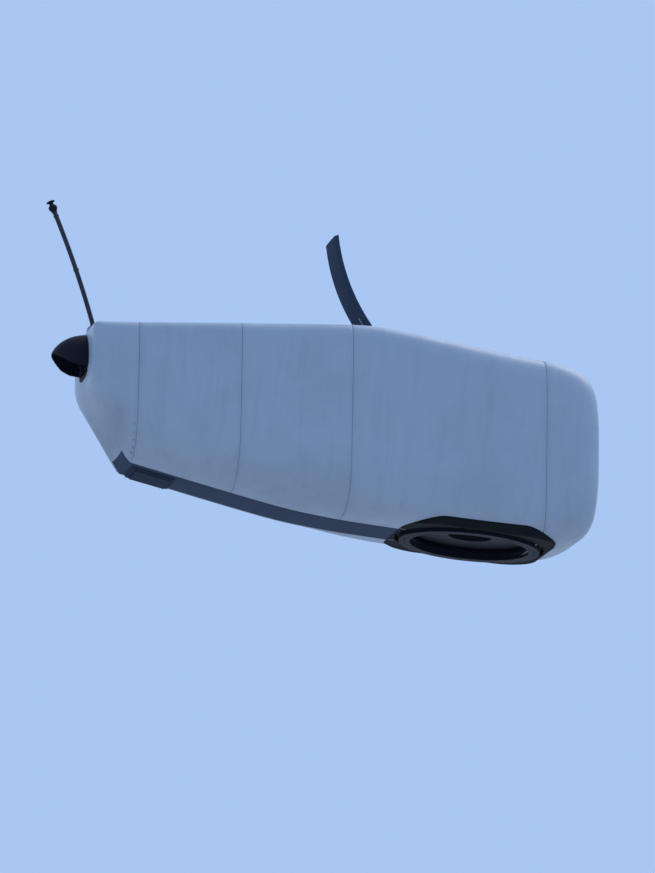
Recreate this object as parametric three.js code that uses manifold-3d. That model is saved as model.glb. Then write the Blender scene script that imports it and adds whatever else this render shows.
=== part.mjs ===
// Wind turbine nacelle without its rotor, as it hangs ready for the tower, in millimetres.
// +X points to the rotor, +Y to the left, +Z up. The origin lies on the face of the tower flange, at the
// front of its bolt circle. All dimensions are drawn from the tower's axis, which is SEAT behind it.
import * as THREE from "three";
import { mergeVertices } from "three/addons/utils/BufferGeometryUtils.js";
import Module from "manifold-3d";

const wasm = await Module();
wasm.setup();

// Driving dimensions
const TILT = THREE.MathUtils.degToRad(5); // the shaft rises to the rotor, and the housing's frames lean back with it
const LEAN = Math.tan(TILT);
const LEAN_Z = 1900; // height at which a frame's station is its real x
const NOSE = 2170; // station of the front face
const TAIL = -7960; // station of the rear face
const SKIN = 60; // sandwich thickness of the housing
const GAP = 0.3; // between faces that touch
const CREST = { station: -2430, z: 3885, rear: 0.123, front: -0.048, blend: 60 };
const BELLY = { station: -3700, z: 40, rear: -0.1566, blend: 90 };
const CHAMFER = { station: -7120, z: 576, rear: -1.58 };
const WIDEST = { half: 1750, station: -1500, tailLoss: 470, noseLoss: 120 };
const FACE = { z: 1850, half: 1130 }; // round flat of the front face
const YAW_HOLE = { half: 1540, corner: 780 }; // rounded square opening for the tower top
const RING = { outer: 1400, inner: 1180, gearOuter: 1330, gearInner: 1110, raceOuter: 1425 };
const SEAT = 1290; // from the tower's axis to the origin
const AXIS_Z = 1649; // height of the shaft's axis over the tower's axis
const FLANGE_X = 2205; // front face of the rotor flange, along the shaft
const HATCH = { pinX: -2450, pinZ: 3950, length: 2050, half: 430, crown: 140, plate: 45, opened: 120 };
const HATCH_SLOPE = 0.048; // fall of the roof under the hatch, in radians
const MAST = { foot: [-7900, 3290], head: [-8940, 5510], radius: 46 };

const gelcoat = new THREE.MeshStandardMaterial({ color: 0x9aa6b4, roughness: 0.45, metalness: 0 });
const bellyGrey = new THREE.MeshStandardMaterial({ color: 0x3c444e, roughness: 0.7, metalness: 0 });
const darkPlastic = new THREE.MeshStandardMaterial({ color: 0x15171b, roughness: 0.6, metalness: 0 });
const rubber = new THREE.MeshStandardMaterial({ color: 0x111214, roughness: 0.85, metalness: 0 });
const darkSteel = new THREE.MeshStandardMaterial({ color: 0x23262a, roughness: 0.5, metalness: 0.6 });
const framePaint = new THREE.MeshStandardMaterial({ color: 0x7d858c, roughness: 0.55, metalness: 0.2 });
const bareSteel = new THREE.MeshStandardMaterial({ color: 0x9fa3a6, roughness: 0.35, metalness: 0.9 });
const galvanised = new THREE.MeshStandardMaterial({ color: 0x8b9196, roughness: 0.5, metalness: 0.7 });

const frameLean = new THREE.Matrix4().set(1, 0, -LEAN, LEAN_Z * LEAN, 0, 1, 0, 0, 0, 0, 1, 0, 0, 0, 0, 1);
const shaftFrame = new THREE.Matrix4().makeRotationY(-TILT).setPosition(0, 0, AXIS_Z);
const hatchFrame = new THREE.Matrix4().makeRotationY(HATCH_SLOPE).setPosition(HATCH.pinX, 0, HATCH.pinZ);

// Solids, joins and cuts

function solid(geometry, matrix) {
  const bare = geometry.index ? geometry.toNonIndexed() : geometry.clone();
  for (const name of Object.keys(bare.attributes)) {
    if (name !== "position") bare.deleteAttribute(name);
  }
  if (matrix) bare.applyMatrix4(matrix);
  const merged = mergeVertices(bare, 1e-3);
  const vertProperties = new Float32Array(merged.attributes.position.array);
  const triVerts = new Uint32Array(merged.index.array);
  const made = new wasm.Manifold(new wasm.Mesh({ numProp: 3, vertProperties, triVerts }));
  if (made.volume() > 0) return made;
  for (let i = 0; i < triVerts.length; i += 3) {
    [triVerts[i + 1], triVerts[i + 2]] = [triVerts[i + 2], triVerts[i + 1]];
  }
  return new wasm.Manifold(new wasm.Mesh({ numProp: 3, vertProperties, triVerts }));
}

function joined(first, ...others) {
  return others.reduce((sum, other) => sum.add(other), first);
}

function cut(first, ...others) {
  return others.reduce((rest, other) => rest.subtract(other), first);
}

function mesh(name, shape, material) {
  let geometry = shape;
  if (!shape.isBufferGeometry) {
    const { vertProperties, triVerts } = shape.getMesh();
    geometry = new THREE.BufferGeometry();
    geometry.setAttribute("position", new THREE.BufferAttribute(new Float32Array(vertProperties), 3));
    geometry.setIndex(new THREE.BufferAttribute(new Uint32Array(triVerts), 1));
    geometry.computeVertexNormals();
  }
  const made = new THREE.Mesh(geometry, material);
  made.name = name;
  return made;
}

function box(x, y, z, matrix) {
  const size = [x[1] - x[0], y[1] - y[0], z[1] - z[0]];
  const centre = [(x[0] + x[1]) / 2, (y[0] + y[1]) / 2, (z[0] + z[1]) / 2];
  return solid(new THREE.BoxGeometry(...size).translate(...centre), matrix);
}

// A round bar from one x to another, turned so that it lies along X.
function bar(radius, x, matrix, sides = 32, y = 0, z = 0) {
  const geometry = new THREE.CylinderGeometry(radius, radius, x[1] - x[0], sides).rotateZ(Math.PI / 2);
  return solid(geometry.translate((x[0] + x[1]) / 2, y, z), matrix);
}

// A turned piece along X. Its profile is pairs of x and radius, from axis to axis.
function turned(profile, sides, matrix) {
  const points = profile.map(([x, radius]) => new THREE.Vector2(radius, x));
  return solid(new THREE.LatheGeometry(points, sides).rotateZ(-Math.PI / 2), matrix);
}

function drum(radius, z, sides, x = 0, y = 0) {
  const geometry = new THREE.CylinderGeometry(radius, radius, z[1] - z[0], sides).rotateX(Math.PI / 2);
  return solid(geometry.translate(x, y, (z[0] + z[1]) / 2));
}

// An upright block whose plan is a square with rounded corners, round the tower's axis.
function roundedSquare(half, corner, z) {
  const shape = new THREE.Shape();
  const flat = half - corner;
  shape.absarc(flat, flat, corner, 0, Math.PI / 2);
  shape.absarc(-flat, flat, corner, Math.PI / 2, Math.PI);
  shape.absarc(-flat, -flat, corner, Math.PI, (3 * Math.PI) / 2);
  shape.absarc(flat, -flat, corner, (3 * Math.PI) / 2, 2 * Math.PI);
  shape.closePath();
  const geometry = new THREE.ExtrudeGeometry(shape, { depth: z[1] - z[0], bevelEnabled: false, curveSegments: 12 });
  return solid(geometry.translate(0, 0, z[0]));
}

function ring(outer, inner, z, sides = 64) {
  return cut(drum(outer, z, sides), drum(inner, [z[0] - 10, z[1] + 10], sides));
}

// A side view in x and z, drawn out across y.
function slab(outline, y, matrix, holes = []) {
  const shape = new THREE.Shape(outline.map(([x, z]) => new THREE.Vector2(x, z)));
  shape.holes = holes;
  const geometry = new THREE.ExtrudeGeometry(shape, { depth: y[1] - y[0], bevelEnabled: false, curveSegments: 8 });
  return solid(geometry.rotateX(Math.PI / 2).translate(0, y[1], 0), matrix);
}

// The housing's outer form

function smoothstep(value, from, to) {
  return THREE.MathUtils.smoothstep(value, from, to);
}

// Two straight lines that meet in a rounded corner: the lower of the two with sign 1, the higher with -1.
function blended(a, b, width, sign) {
  return (a + b - sign * Math.sqrt((a - b) ** 2 + width ** 2)) / 2;
}

function roofLine(station) {
  const run = station - CREST.station;
  return blended(CREST.z + CREST.rear * run, CREST.z + CREST.front * run, CREST.blend, 1);
}

function bellyLine(station) {
  const rising = BELLY.z + BELLY.rear * (station - BELLY.station);
  const chamfer = CHAMFER.z + CHAMFER.rear * (station - CHAMFER.station);
  return Math.max(blended(rising, BELLY.z, BELLY.blend, -1), chamfer);
}

function halfWidth(station) {
  const behind = Math.max(0, WIDEST.station - station) / (WIDEST.station - TAIL);
  const ahead = Math.max(0, station - WIDEST.station) / (NOSE - WIDEST.station);
  return WIDEST.half - WIDEST.tailLoss * behind ** 1.6 - WIDEST.noseLoss * ahead ** 2;
}

// Falls from 1 at the start to 0 at the front face, along a superellipse's quarter.
function noseRounding(station, start, power) {
  const t = Math.min(1, Math.max(0, (station - start) / (NOSE - start)));
  return (1 - t ** power) ** (1 / power);
}

// One frame of the housing: a superellipse with its own roundness above and below its widest height.
function frameOf(station, inset) {
  const upper = noseRounding(station, 1000, 3);
  const lower = noseRounding(station, 700, 2.2);
  const tailEdge = 120;
  const inTail = Math.max(0, TAIL + tailEdge - station);
  const loss = inset + tailEdge - Math.sqrt(Math.max(0, tailEdge ** 2 - inTail ** 2));
  const mix = THREE.MathUtils.lerp;
  const top = mix(FACE.z + FACE.half, roofLine(station), upper) - loss;
  const bottom = mix(FACE.z - FACE.half, bellyLine(station), lower) + loss;
  const half = mix(FACE.half, halfWidth(station), upper) - loss;
  const topPower = mix(2.1, 9 - 3 * smoothstep(station, -3000, 600), upper);
  const bottomPower = mix(2.1, 3.2 + 2.8 * smoothstep(station, -3600, -1600), lower);
  return { top, bottom, half, topPower, bottomPower, middle: (top + bottom) / 2 - 60 };
}

// The points round a frame, as y and z, seen from the front.
function frameOutline(frame, count) {
  const points = [];
  for (let i = 0; i < count; i++) {
    const angle = (2 * Math.PI * i) / count;
    const [c, s] = [Math.cos(angle), Math.sin(angle)];
    const power = 2 / (s >= 0 ? frame.topPower : frame.bottomPower);
    const height = s >= 0 ? frame.top - frame.middle : frame.middle - frame.bottom;
    points.push([
      frame.half * Math.sign(c) * Math.abs(c) ** power,
      frame.middle + height * Math.sign(s) * Math.abs(s) ** power,
    ]);
  }
  return points;
}

// The housing's form as one closed solid, drawn in from the outer face by an inset.
function hull(inset) {
  const around = 32;
  const stations = [TAIL, TAIL + 30, TAIL + 120, CHAMFER.station, -6300, -5000, -3950, -3700, -3450, -3100, -2700];
  stations.push(CREST.station, -2150, -1500, -740, 0, 500, 850, 1130, 1420, 1660, 1850, 1990, 2085, 2140, NOSE);
  const positions = [];
  for (const station of stations) {
    const along = station + inset * (1 - smoothstep(station, TAIL, -6300) - smoothstep(station, 900, NOSE));
    for (const [y, z] of frameOutline(frameOf(station, inset), around)) {
      positions.push(along - (z - LEAN_Z) * LEAN, y, z);
    }
  }
  const last = stations.length - 1;
  const faces = [];
  for (let i = 0; i < last; i++) {
    for (let j = 0; j < around; j++) {
      const next = (j + 1) % around;
      const [a, b] = [i * around + j, i * around + next];
      faces.push(a, a + around, b, b, a + around, b + around);
    }
  }
  for (let j = 1; j < around - 1; j++) {
    faces.push(0, j, j + 1);
    faces.push(last * around, last * around + j + 1, last * around + j);
  }
  const geometry = new THREE.BufferGeometry();
  geometry.setAttribute("position", new THREE.BufferAttribute(new Float32Array(positions), 3));
  geometry.setIndex(faces);
  return solid(geometry);
}

const outerForm = hull(0);
const innerForm = hull(SKIN);
const roomForm = hull(SKIN + GAP);
const aroundForm = hull(-GAP);

// Housing panels

const SEAM = { nose: 1000, roof: -2650, middle: -2900, rear: -5080, tail: -7080, roofHalf: 1000, bellyHalf: 600 };
const HIGH = [2300, 4600];
const LOW = [-600, 1500];
const FULL = [-600, 4600];
const WIDE = [-2400, 2400];

const yawCut = roundedSquare(YAW_HOLE.half, YAW_HOLE.corner, [-600, 700]);
const shell = cut(outerForm, innerForm, yawCut);

// What of the housing lies between two stations, inside a width and a height.
function panel(stations, y, z) {
  const x = [stations[0] + GAP / 2, stations[1] - GAP / 2];
  const across = [y[0] + GAP / 2, y[1] - GAP / 2];
  return shell.intersect(box(x, across, z, frameLean));
}

const behindSeams = TAIL - 800;
const aheadOfSeams = NOSE + 800;

function sidePanel(side, stations) {
  const y = side > 0 ? [0, WIDE[1]] : [WIDE[0], 0];
  const roofHalf = SEAM.roofHalf + GAP / 2;
  const bellyHalf = SEAM.bellyHalf + GAP / 2;
  return cut(
    panel(stations, y, FULL),
    box([behindSeams, aheadOfSeams], [-roofHalf, roofHalf], HIGH, frameLean),
    box([behindSeams, aheadOfSeams], [-bellyHalf, bellyHalf], LOW, frameLean),
  );
}

function shaftHole(radius) {
  return bar(radius, [FLANGE_X - 700, FLANGE_X + 300], shaftFrame, 48);
}

const NOSE_OPENING = 860;
const OUTLET = { half: 500, z: [2300, 2880] };
const HOOD = { z: 2550, reach: 740, half: 620, height: 570, wall: 35 };
const HATCH_OPENING = { x: [70, 1900], half: 350 };
const BELLY_HATCH = { stations: [-6950, -6250], half: 400 };

const nose = cut(panel([SEAM.nose, aheadOfSeams], WIDE, FULL), shaftHole(NOSE_OPENING));
const tail = cut(
  panel([behindSeams, SEAM.tail], WIDE, FULL),
  box([TAIL - 300, TAIL + 260], [-OUTLET.half, OUTLET.half], OUTLET.z, frameLean),
);
const hatchHole = box(HATCH_OPENING.x, [-HATCH_OPENING.half, HATCH_OPENING.half], [-600, 200], hatchFrame);
const roofHalves = [-SEAM.roofHalf, SEAM.roofHalf];
const roofFront = cut(panel([SEAM.roof, SEAM.nose], roofHalves, HIGH), hatchHole);
const roofRear = panel([SEAM.tail, SEAM.roof], roofHalves, HIGH);
const belly = cut(
  panel([SEAM.tail, 0], [-SEAM.bellyHalf, SEAM.bellyHalf], LOW),
  box(BELLY_HATCH.stations, [-BELLY_HATCH.half, BELLY_HATCH.half], LOW, frameLean),
);

// Underside: the skirt round the tower top and the hatch for the service crane

const yawSkirt = cut(roundedSquare(YAW_HOLE.half - GAP, YAW_HOLE.corner - GAP, [60, 330]), drum(1480, [0, 400], 64));

function bellyHatchFrame() {
  const [from, to] = BELLY_HATCH.stations;
  const rim = 70;
  const outside = box([from - rim, to + rim], [-470, 470], [200, 1100], frameLean);
  const inside = box([from, to], [-BELLY_HATCH.half, BELLY_HATCH.half], [0, 1500], frameLean);
  const under = hull(-45);
  return cut(under.intersect(outside), aroundForm, inside);
}

function bellyHatchLid() {
  const [from, to] = BELLY_HATCH.stations;
  const half = BELLY_HATCH.half - GAP;
  const plug = box([from + GAP, to - GAP], [-half, half], [0, 1500], frameLean);
  return cut(hull(-75).intersect(plug), hull(-10));
}

// Rear air outlet

// A blunt cone round an axis along X, flattened or stretched to its own height, with its base inside the tail.
function hoodForm(reach, half, height) {
  const profile = [[200, 0], [200, 1]];
  for (const t of [0, 0.18, 0.36, 0.52, 0.66, 0.78, 0.88, 0.95, 0.99]) {
    profile.push([-reach * t, (1 - t ** 2.1) ** 0.55]);
  }
  profile.push([-reach, 0]);
  const points = profile.map(([x, radius]) => new THREE.Vector2(radius, x));
  const geometry = new THREE.LatheGeometry(points, 32).rotateZ(-Math.PI / 2);
  return solid(geometry.scale(1, half, height).translate(TAIL, 0, HOOD.z));
}

function outletHood() {
  const { reach, half, height, wall } = HOOD;
  const mouth = slab([[-9600, 3330], [-8380, 2480], [-8200, 2430], [-7700, 2430], [-7700, 900], [-9600, 900]], [-900, 900]);
  const inside = hoodForm(reach - wall, half - wall, height - wall);
  return cut(hoodForm(reach, half, height), inside, mouth, aroundForm);
}

function outletLouvre() {
  const frameDepth = [TAIL + 6, TAIL + 54];
  const inner = OUTLET.half - 40;
  const [low, high] = OUTLET.z;
  const outside = box(frameDepth, [-OUTLET.half + GAP, OUTLET.half - GAP], [low + GAP, high - GAP], frameLean);
  const hole = box([TAIL - 100, TAIL + 200], [-inner, inner], [low + 40, high - 40], frameLean);
  const slats = [];
  for (let z = low + 90; z < high - 60; z += 84) {
    const slat = [[TAIL + 8, z - 26], [TAIL + 14, z - 32], [TAIL + 52, z + 18], [TAIL + 46, z + 24]];
    slats.push(slab(slat, [-inner - 5, inner + 5], frameLean));
  }
  return joined(cut(outside, hole), ...slats);
}

// Roof hatch: coaming, hinges and the lid, drawn shut in the hatch's own frame and opened at its pins

const PIN = { radius: 12, hole: 12.6, y: 260, sides: 16 };

function pinBar(radius, y) {
  const geometry = new THREE.CylinderGeometry(radius, radius, y[1] - y[0], PIN.sides);
  return solid(geometry.translate(0, (y[0] + y[1]) / 2, 0));
}

// Height of the lid's underside over its hinge line: a flat arch.
function lidArch(x) {
  const share = x / HATCH.length;
  return -20 + 4 * HATCH.crown * share * (1 - share);
}

// Points along the lid's arch from one x to another, raised by a height.
function archLine(from, to, raise, steps = 14) {
  const points = [];
  for (let i = 0; i <= steps; i++) {
    const x = from + ((to - from) * i) / steps;
    points.push([x, lidArch(x) + raise]);
  }
  return points;
}

// The coaming's walls rise to just under the arched lid.
function hatchCoaming() {
  const { x, half } = HATCH_OPENING;
  const wall = 36;
  const [from, to] = [x[0] - wall, x[1] + wall];
  const outline = [[from, -300], ...archLine(from, to, -16), [to, -300]];
  const inside = box(x, [-half, half], [-700, 300], hatchFrame);
  return cut(slab(outline, [-half - wall, half + wall], hatchFrame), inside, aroundForm);
}

function hingeBracket(side) {
  const y = side * PIN.y;
  const ear = [[-34, -130], [34, -130], [20, 16], [-20, 16]];
  const ears = [y - 44, y + 30].map((at) => slab(ear, [at, at + 14], hatchFrame));
  const foot = box([-70, 33], [y - 70, y + 70], [-200, -90], hatchFrame);
  const pin = pinBar(PIN.radius, [y - 44, y + 44]).transform(columns(hatchFrame));
  return cut(joined(foot, ...ears, pin), aroundForm);
}

function columns(matrix) {
  return matrix.elements;
}

function hatchLid() {
  const [start, end] = [26, HATCH.length];
  const plate = slab([...archLine(start, end, 0), ...archLine(start, end, HATCH.plate).reverse()], [-HATCH.half, HATCH.half]);
  const skirt = [...archLine(100, end, -50), ...archLine(100, end, 10).reverse()];
  const skirts = [-HATCH.half, HATCH.half - 28].map((y) => slab(skirt, [y, y + 28]));
  const lip = box([end - 28, end], [-HATCH.half + 5, HATCH.half - 5], [-70, 5]);
  const knuckles = [-PIN.y, PIN.y].map((y) => {
    const arm = [[-20, -8], [-8, -20], [10, -20], [90, -12], [90, 30], [10, 22], [-12, 20]];
    return slab(arm, [y - 24, y + 24]);
  });
  const holes = [-PIN.y, PIN.y].map((y) => pinBar(PIN.hole, [y - 60, y + 60]));
  return cut(joined(plate, ...skirts, lip, ...knuckles), ...holes);
}

// Weather mast: a bowed tube on a foot plate, with a wind sensor on its head

function mastCurve() {
  const [fx, fz] = MAST.foot;
  const [hx, hz] = MAST.head;
  const foot = new THREE.Vector3(fx, 0, fz);
  const head = new THREE.Vector3(hx, 0, hz);
  const bow = new THREE.Vector3((fx + hx) / 2 + 70, 0, (fz + hz) / 2 + 30);
  return new THREE.QuadraticBezierCurve3(foot, bow, head);
}

function mastTube() {
  const section = new THREE.Shape().absarc(0, 0, MAST.radius, 0, 2 * Math.PI);
  const options = { steps: 10, extrudePath: mastCurve(), curveSegments: 6, bevelEnabled: false };
  const [x, z] = MAST.foot;
  const below = box([x - 300, x + 300], [-200, 200], [z - 300, z]);
  return cut(solid(new THREE.ExtrudeGeometry(section, options)), below);
}

function mastFoot() {
  const [x, z] = MAST.foot;
  const plate = box([x - 130, x + 130], [-120, 120], [z - 200, z - GAP]);
  return cut(plate, aroundForm);
}

function sensorHead() {
  const curve = mastCurve();
  const along = curve.getTangent(1);
  const turn = new THREE.Quaternion().setFromUnitVectors(new THREE.Vector3(0, 1, 0), along);
  const at = curve.getPoint(1).addScaledVector(along, GAP);
  const profile = [[0, 0], [60, 0], [60, 30], [85, 55], [85, 120], [45, 150], [45, 185], [85, 200], [85, 225], [0, 240]];
  const points = profile.map(([radius, y]) => new THREE.Vector2(radius, y));
  return solid(new THREE.LatheGeometry(points, 20), new THREE.Matrix4().compose(at, turn, new THREE.Vector3(1, 1, 1)));
}

// Yaw bearing: the lower ring is bolted to the tower, and the race turns round it under the bedplate

const yawFlangeRing = ring(RING.outer, RING.inner, [0, 90]);
const yawGearRing = ring(RING.gearOuter, RING.gearInner, [90 + GAP, 215 - GAP], 96);
const yawRace = ring(RING.raceOuter, RING.gearOuter + 1.6, [112, 215 - GAP], 96);

// Bedplate: two webs, cross walls and the seats of the drive train, on a round yaw seat with a manhole

const BED = { top: -560, webY: [620, 740], x: [-1750, 1900] };
const YAW_SEAT = { z: [215, 330], manhole: 430 };

const yawSeat = ring(RING.raceOuter, YAW_SEAT.manhole, YAW_SEAT.z);

function bedplate() {
  const sideView = [
    [BED.x[0], -1010], [BED.x[0], BED.top], [-350, BED.top], [-150, -820], [450, -820], [650, BED.top],
    [BED.x[1], BED.top], [BED.x[1], -900], [1150, -1440], [-1150, -1440],
  ];
  const webs = [-BED.webY[1], BED.webY[0]].map((y) => slab(sideView, [y, y + 120], shaftFrame));
  const wall = (x, low) => box(x, [-BED.webY[1], BED.webY[1]], [low, BED.top], shaftFrame);
  const front = wall([BED.x[1] - 110, BED.x[1]], -900);
  const rear = wall([BED.x[0], BED.x[0] + 110], -1010);
  const ears = [-1, 1].map((side) => box([-1750, -1350], side > 0 ? [700, 1120] : [-1120, -700], [-760, BED.top], shaftFrame));
  const deck = box([650, BED.x[1]], [-BED.webY[1], BED.webY[1]], [BED.top - 180, BED.top], shaftFrame);
  const trough = bar(664, [BEARING_X[0] - 20, BEARING_X[1] + 20], shaftFrame, 40);
  const lugs = [[-440, 1], [-440, -1], [560, 1], [560, -1]].map(([x, side]) => {
    const plate = [[x - 120, -700], [x + 120, -700], [x + 90, -330], [x, -270], [x - 90, -330]];
    const eye = new THREE.Path().absarc(x, -370, 45, 0, 2 * Math.PI);
    const y = side > 0 ? [BED.webY[1] - 5, BED.webY[1] + 50] : [-BED.webY[1] - 50, 5 - BED.webY[1]];
    return slab(plate, y, shaftFrame, [eye]);
  });
  const whole = joined(...webs, front, rear, deck, ...ears, ...lugs);
  return cut(whole, trough, drum(1600, [-300, YAW_SEAT.z[1] + GAP], 48)).intersect(roomForm);
}

// Arms that carry the housing: cut to the inner face of the side panels.
function housingArm(x, side, z) {
  const y = side > 0 ? [BED.webY[1] + GAP, 2400] : [-2400, -BED.webY[1] - GAP];
  return box(x, y, z, shaftFrame).intersect(roomForm);
}

// Drive train, along the shaft's own axis

const SHAFT = { flange: 740, front: 430, rear: 300, end: -560 };
const BEARING_X = [1000, 1560];

const mainShaft = [
  [SHAFT.end, 0], [SHAFT.end, SHAFT.rear], [500, 340], [BEARING_X[0] - 60, 400], [BEARING_X[1] + 60, SHAFT.front],
  [FLANGE_X - 320, 480], [FLANGE_X - 130, 620], [FLANGE_X - 120, SHAFT.flange], [FLANGE_X, SHAFT.flange],
  [FLANGE_X, 250], [FLANGE_X - 200, 250], [FLANGE_X - 200, 0],
];

function bearingHousing() {
  const round = turned([
    [BEARING_X[0], 0], [BEARING_X[0], 590], [BEARING_X[0] + 60, 660], [BEARING_X[1] - 60, 660],
    [BEARING_X[1], 590], [BEARING_X[1], 0],
  ], 40, shaftFrame);
  const foot = box([BEARING_X[0] + 20, BEARING_X[1] - 20], [-735, 735], [BED.top + GAP, -260], shaftFrame);
  return cut(joined(round, foot), turned(mainShaft.map(([x, radius]) => [x, radius ? radius + GAP : 0]), 40, shaftFrame));
}

const GEAR_X = [-2150, SHAFT.end - GAP];

function gearbox() {
  const [back, front] = GEAR_X;
  const planets = turned([
    [back + 620, 0], [back + 620, 820], [front - 250, 820], [front - 250, 760], [front - 60, 700], [front, 420], [front, 0],
  ], 40, shaftFrame);
  const parallel = slab([
    [back, -330], [back + 80, -500], [back + 640, -500], [back + 640, 860], [back + 80, 820], [back, 640],
  ], [-620, 760], shaftFrame);
  const arm = box([-1730, -1390], [-1110, 1110], [BED.top + GAP, -320], shaftFrame);
  const cover = bar(170, [back - 70, back + 10], shaftFrame, 24, 380, 300);
  return joined(planets, parallel, arm, cover);
}

const HIGH_SPEED = { y: 380, z: 300 };

function brakeAndCoupling() {
  const from = -3180;
  const to = GEAR_X[0] - 70 - GAP;
  const profile = [
    [from, 0], [from, 150], [from + 60, 150], [from + 60, 90], [from + 560, 90], [from + 560, 330],
    [from + 620, 330], [from + 620, 110], [to, 110], [to, 0],
  ];
  const shift = new THREE.Matrix4().makeTranslation(0, HIGH_SPEED.y, HIGH_SPEED.z);
  return turned(profile, 32, shaftFrame.clone().multiply(shift));
}

const GENERATOR_X = [-5400, -3180 - GAP];

function generator() {
  const [back, front] = GENERATOR_X;
  const { y, z } = HIGH_SPEED;
  const body = slab([
    [back, z - 480], [back + 60, z - 560], [front - 160, z - 560], [front - 160, z + 560], [back + 60, z + 560], [back, z + 480],
  ], [y - 560, y + 560], shaftFrame);
  const nose = turned([[front - 170, 0], [front - 170, 380], [front - 60, 330], [front, 140], [front, 0]], 28,
    shaftFrame.clone().multiply(new THREE.Matrix4().makeTranslation(0, y, z)));
  const cooler = box([back + 150, front - 350], [y - 460, y + 460], [z + 550, z + 900], shaftFrame);
  const feet = [y - 600, y + 450].map((at) => box([back + 120, front - 260], [at, at + 150], [-520, -250], shaftFrame));
  return joined(body, nose, cooler, ...feet);
}

// Rear frame: two beams behind the bedplate and the cross beams that carry the tail of the housing

const BEAM = { z: [-690, -520 - GAP], x: [-5950, BED.x[0] - GAP] };

function rearBeam(side) {
  const y = side > 0 ? [780, 960] : [-250, -60];
  return box(BEAM.x, y, BEAM.z, shaftFrame).intersect(roomForm);
}

function crossBeam(x) {
  const z = [BEAM.z[1] + GAP, BEAM.z[1] + 150];
  return box(x, WIDE, z, shaftFrame).intersect(roomForm);
}

// The assembly

const nacelle = new THREE.Group();

const yawRing = new THREE.Group();
yawRing.add(mesh("yaw_flange_ring", yawFlangeRing, darkSteel));
yawRing.add(mesh("yaw_gear_ring", yawGearRing, darkSteel));

const machine = new THREE.Group();
machine.add(mesh("yaw_race", yawRace, darkSteel));
machine.add(mesh("yaw_seat", yawSeat, framePaint));
machine.add(mesh("bedplate", bedplate(), framePaint));
machine.add(mesh("main_bearing_housing", bearingHousing(), framePaint));
machine.add(mesh("main_shaft", turned(mainShaft, 40, shaftFrame), bareSteel));
machine.add(mesh("gearbox", gearbox(), framePaint));
machine.add(mesh("brake_and_coupling", brakeAndCoupling(), bareSteel));
machine.add(mesh("generator", generator(), framePaint));
machine.add(mesh("cross_beam_front", crossBeam([-3080, -2900]), framePaint));
machine.add(mesh("cross_beam_rear", crossBeam([-5900, -5720]), framePaint));
for (const [name, side] of [["left", 1], ["right", -1]]) {
  machine.add(mesh(`rear_beam_${name}`, rearBeam(side), framePaint));
  machine.add(mesh(`housing_arm_front_${name}`, housingArm([760, 900], side, [-740, -600]), framePaint));
}

const housing = new THREE.Group();
housing.add(mesh("nose_shell", nose, gelcoat));
housing.add(mesh("tail_shell", tail, gelcoat));
housing.add(mesh("roof_front", roofFront, gelcoat));
housing.add(mesh("roof_rear", roofRear, gelcoat));
housing.add(mesh("belly_pan", belly, bellyGrey));
for (const [name, side] of [["left", 1], ["right", -1]]) {
  housing.add(mesh(`side_front_${name}`, sidePanel(side, [SEAM.middle, SEAM.nose]), gelcoat));
  housing.add(mesh(`side_middle_${name}`, sidePanel(side, [SEAM.rear, SEAM.middle]), gelcoat));
  housing.add(mesh(`side_rear_${name}`, sidePanel(side, [SEAM.tail, SEAM.rear]), gelcoat));
  housing.add(mesh(`hatch_hinge_${name}`, hingeBracket(side), galvanised));
}
housing.add(mesh("yaw_skirt", yawSkirt, rubber));
housing.add(mesh("belly_hatch_frame", bellyHatchFrame(), bellyGrey));
housing.add(mesh("belly_hatch_lid", bellyHatchLid(), darkPlastic));
housing.add(mesh("outlet_hood", outletHood(), darkPlastic));
housing.add(mesh("outlet_louvre", outletLouvre(), darkPlastic));
housing.add(mesh("hatch_coaming", hatchCoaming(), gelcoat));
housing.add(mesh("mast_foot", mastFoot(), galvanised));
housing.add(mesh("sensor_mast", mastTube(), galvanised));
housing.add(mesh("wind_sensor", sensorHead(), darkPlastic));

const opened = new THREE.Group();
opened.position.set(HATCH.pinX, 0, HATCH.pinZ);
opened.rotation.y = HATCH_SLOPE - THREE.MathUtils.degToRad(HATCH.opened);
opened.add(mesh("roof_hatch", hatchLid(), gelcoat));

nacelle.add(yawRing, machine, housing, opened);
nacelle.position.x = -SEAT;

const part = new THREE.Group();
part.add(nacelle);

export default part;
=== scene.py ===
"""The looks of a wind turbine nacelle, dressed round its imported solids.

All sizes are in metres. The housing is worked out in its drawing frame, whose X starts at the tower's axis.
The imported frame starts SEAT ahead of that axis, on the tower flange's bolt circle.
"""

import logging
import math
from dataclasses import dataclass, field
from enum import Enum
from typing import Callable, Sequence

import bmesh
import bpy
import numpy as np
from mathutils import Matrix, Vector


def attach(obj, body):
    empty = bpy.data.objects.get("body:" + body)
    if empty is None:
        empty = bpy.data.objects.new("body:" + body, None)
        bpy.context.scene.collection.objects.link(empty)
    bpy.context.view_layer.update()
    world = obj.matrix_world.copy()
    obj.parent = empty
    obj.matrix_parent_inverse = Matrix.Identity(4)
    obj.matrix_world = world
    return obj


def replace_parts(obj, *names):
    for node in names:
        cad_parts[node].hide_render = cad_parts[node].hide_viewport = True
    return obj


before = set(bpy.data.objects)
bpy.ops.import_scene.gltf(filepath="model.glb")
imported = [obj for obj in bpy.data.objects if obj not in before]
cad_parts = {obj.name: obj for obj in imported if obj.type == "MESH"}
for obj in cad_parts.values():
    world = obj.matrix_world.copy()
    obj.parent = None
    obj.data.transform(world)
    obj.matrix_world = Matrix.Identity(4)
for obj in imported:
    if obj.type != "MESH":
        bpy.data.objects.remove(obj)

Grid = np.ndarray
Profile = Sequence[tuple[float, Grid | float]]
LOG = logging.getLogger("nacelle")
SEAT = 1.29
TILT = math.radians(5.0)
SHAFT_HEIGHT = 1.649
POLE = 0.0005
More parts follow.
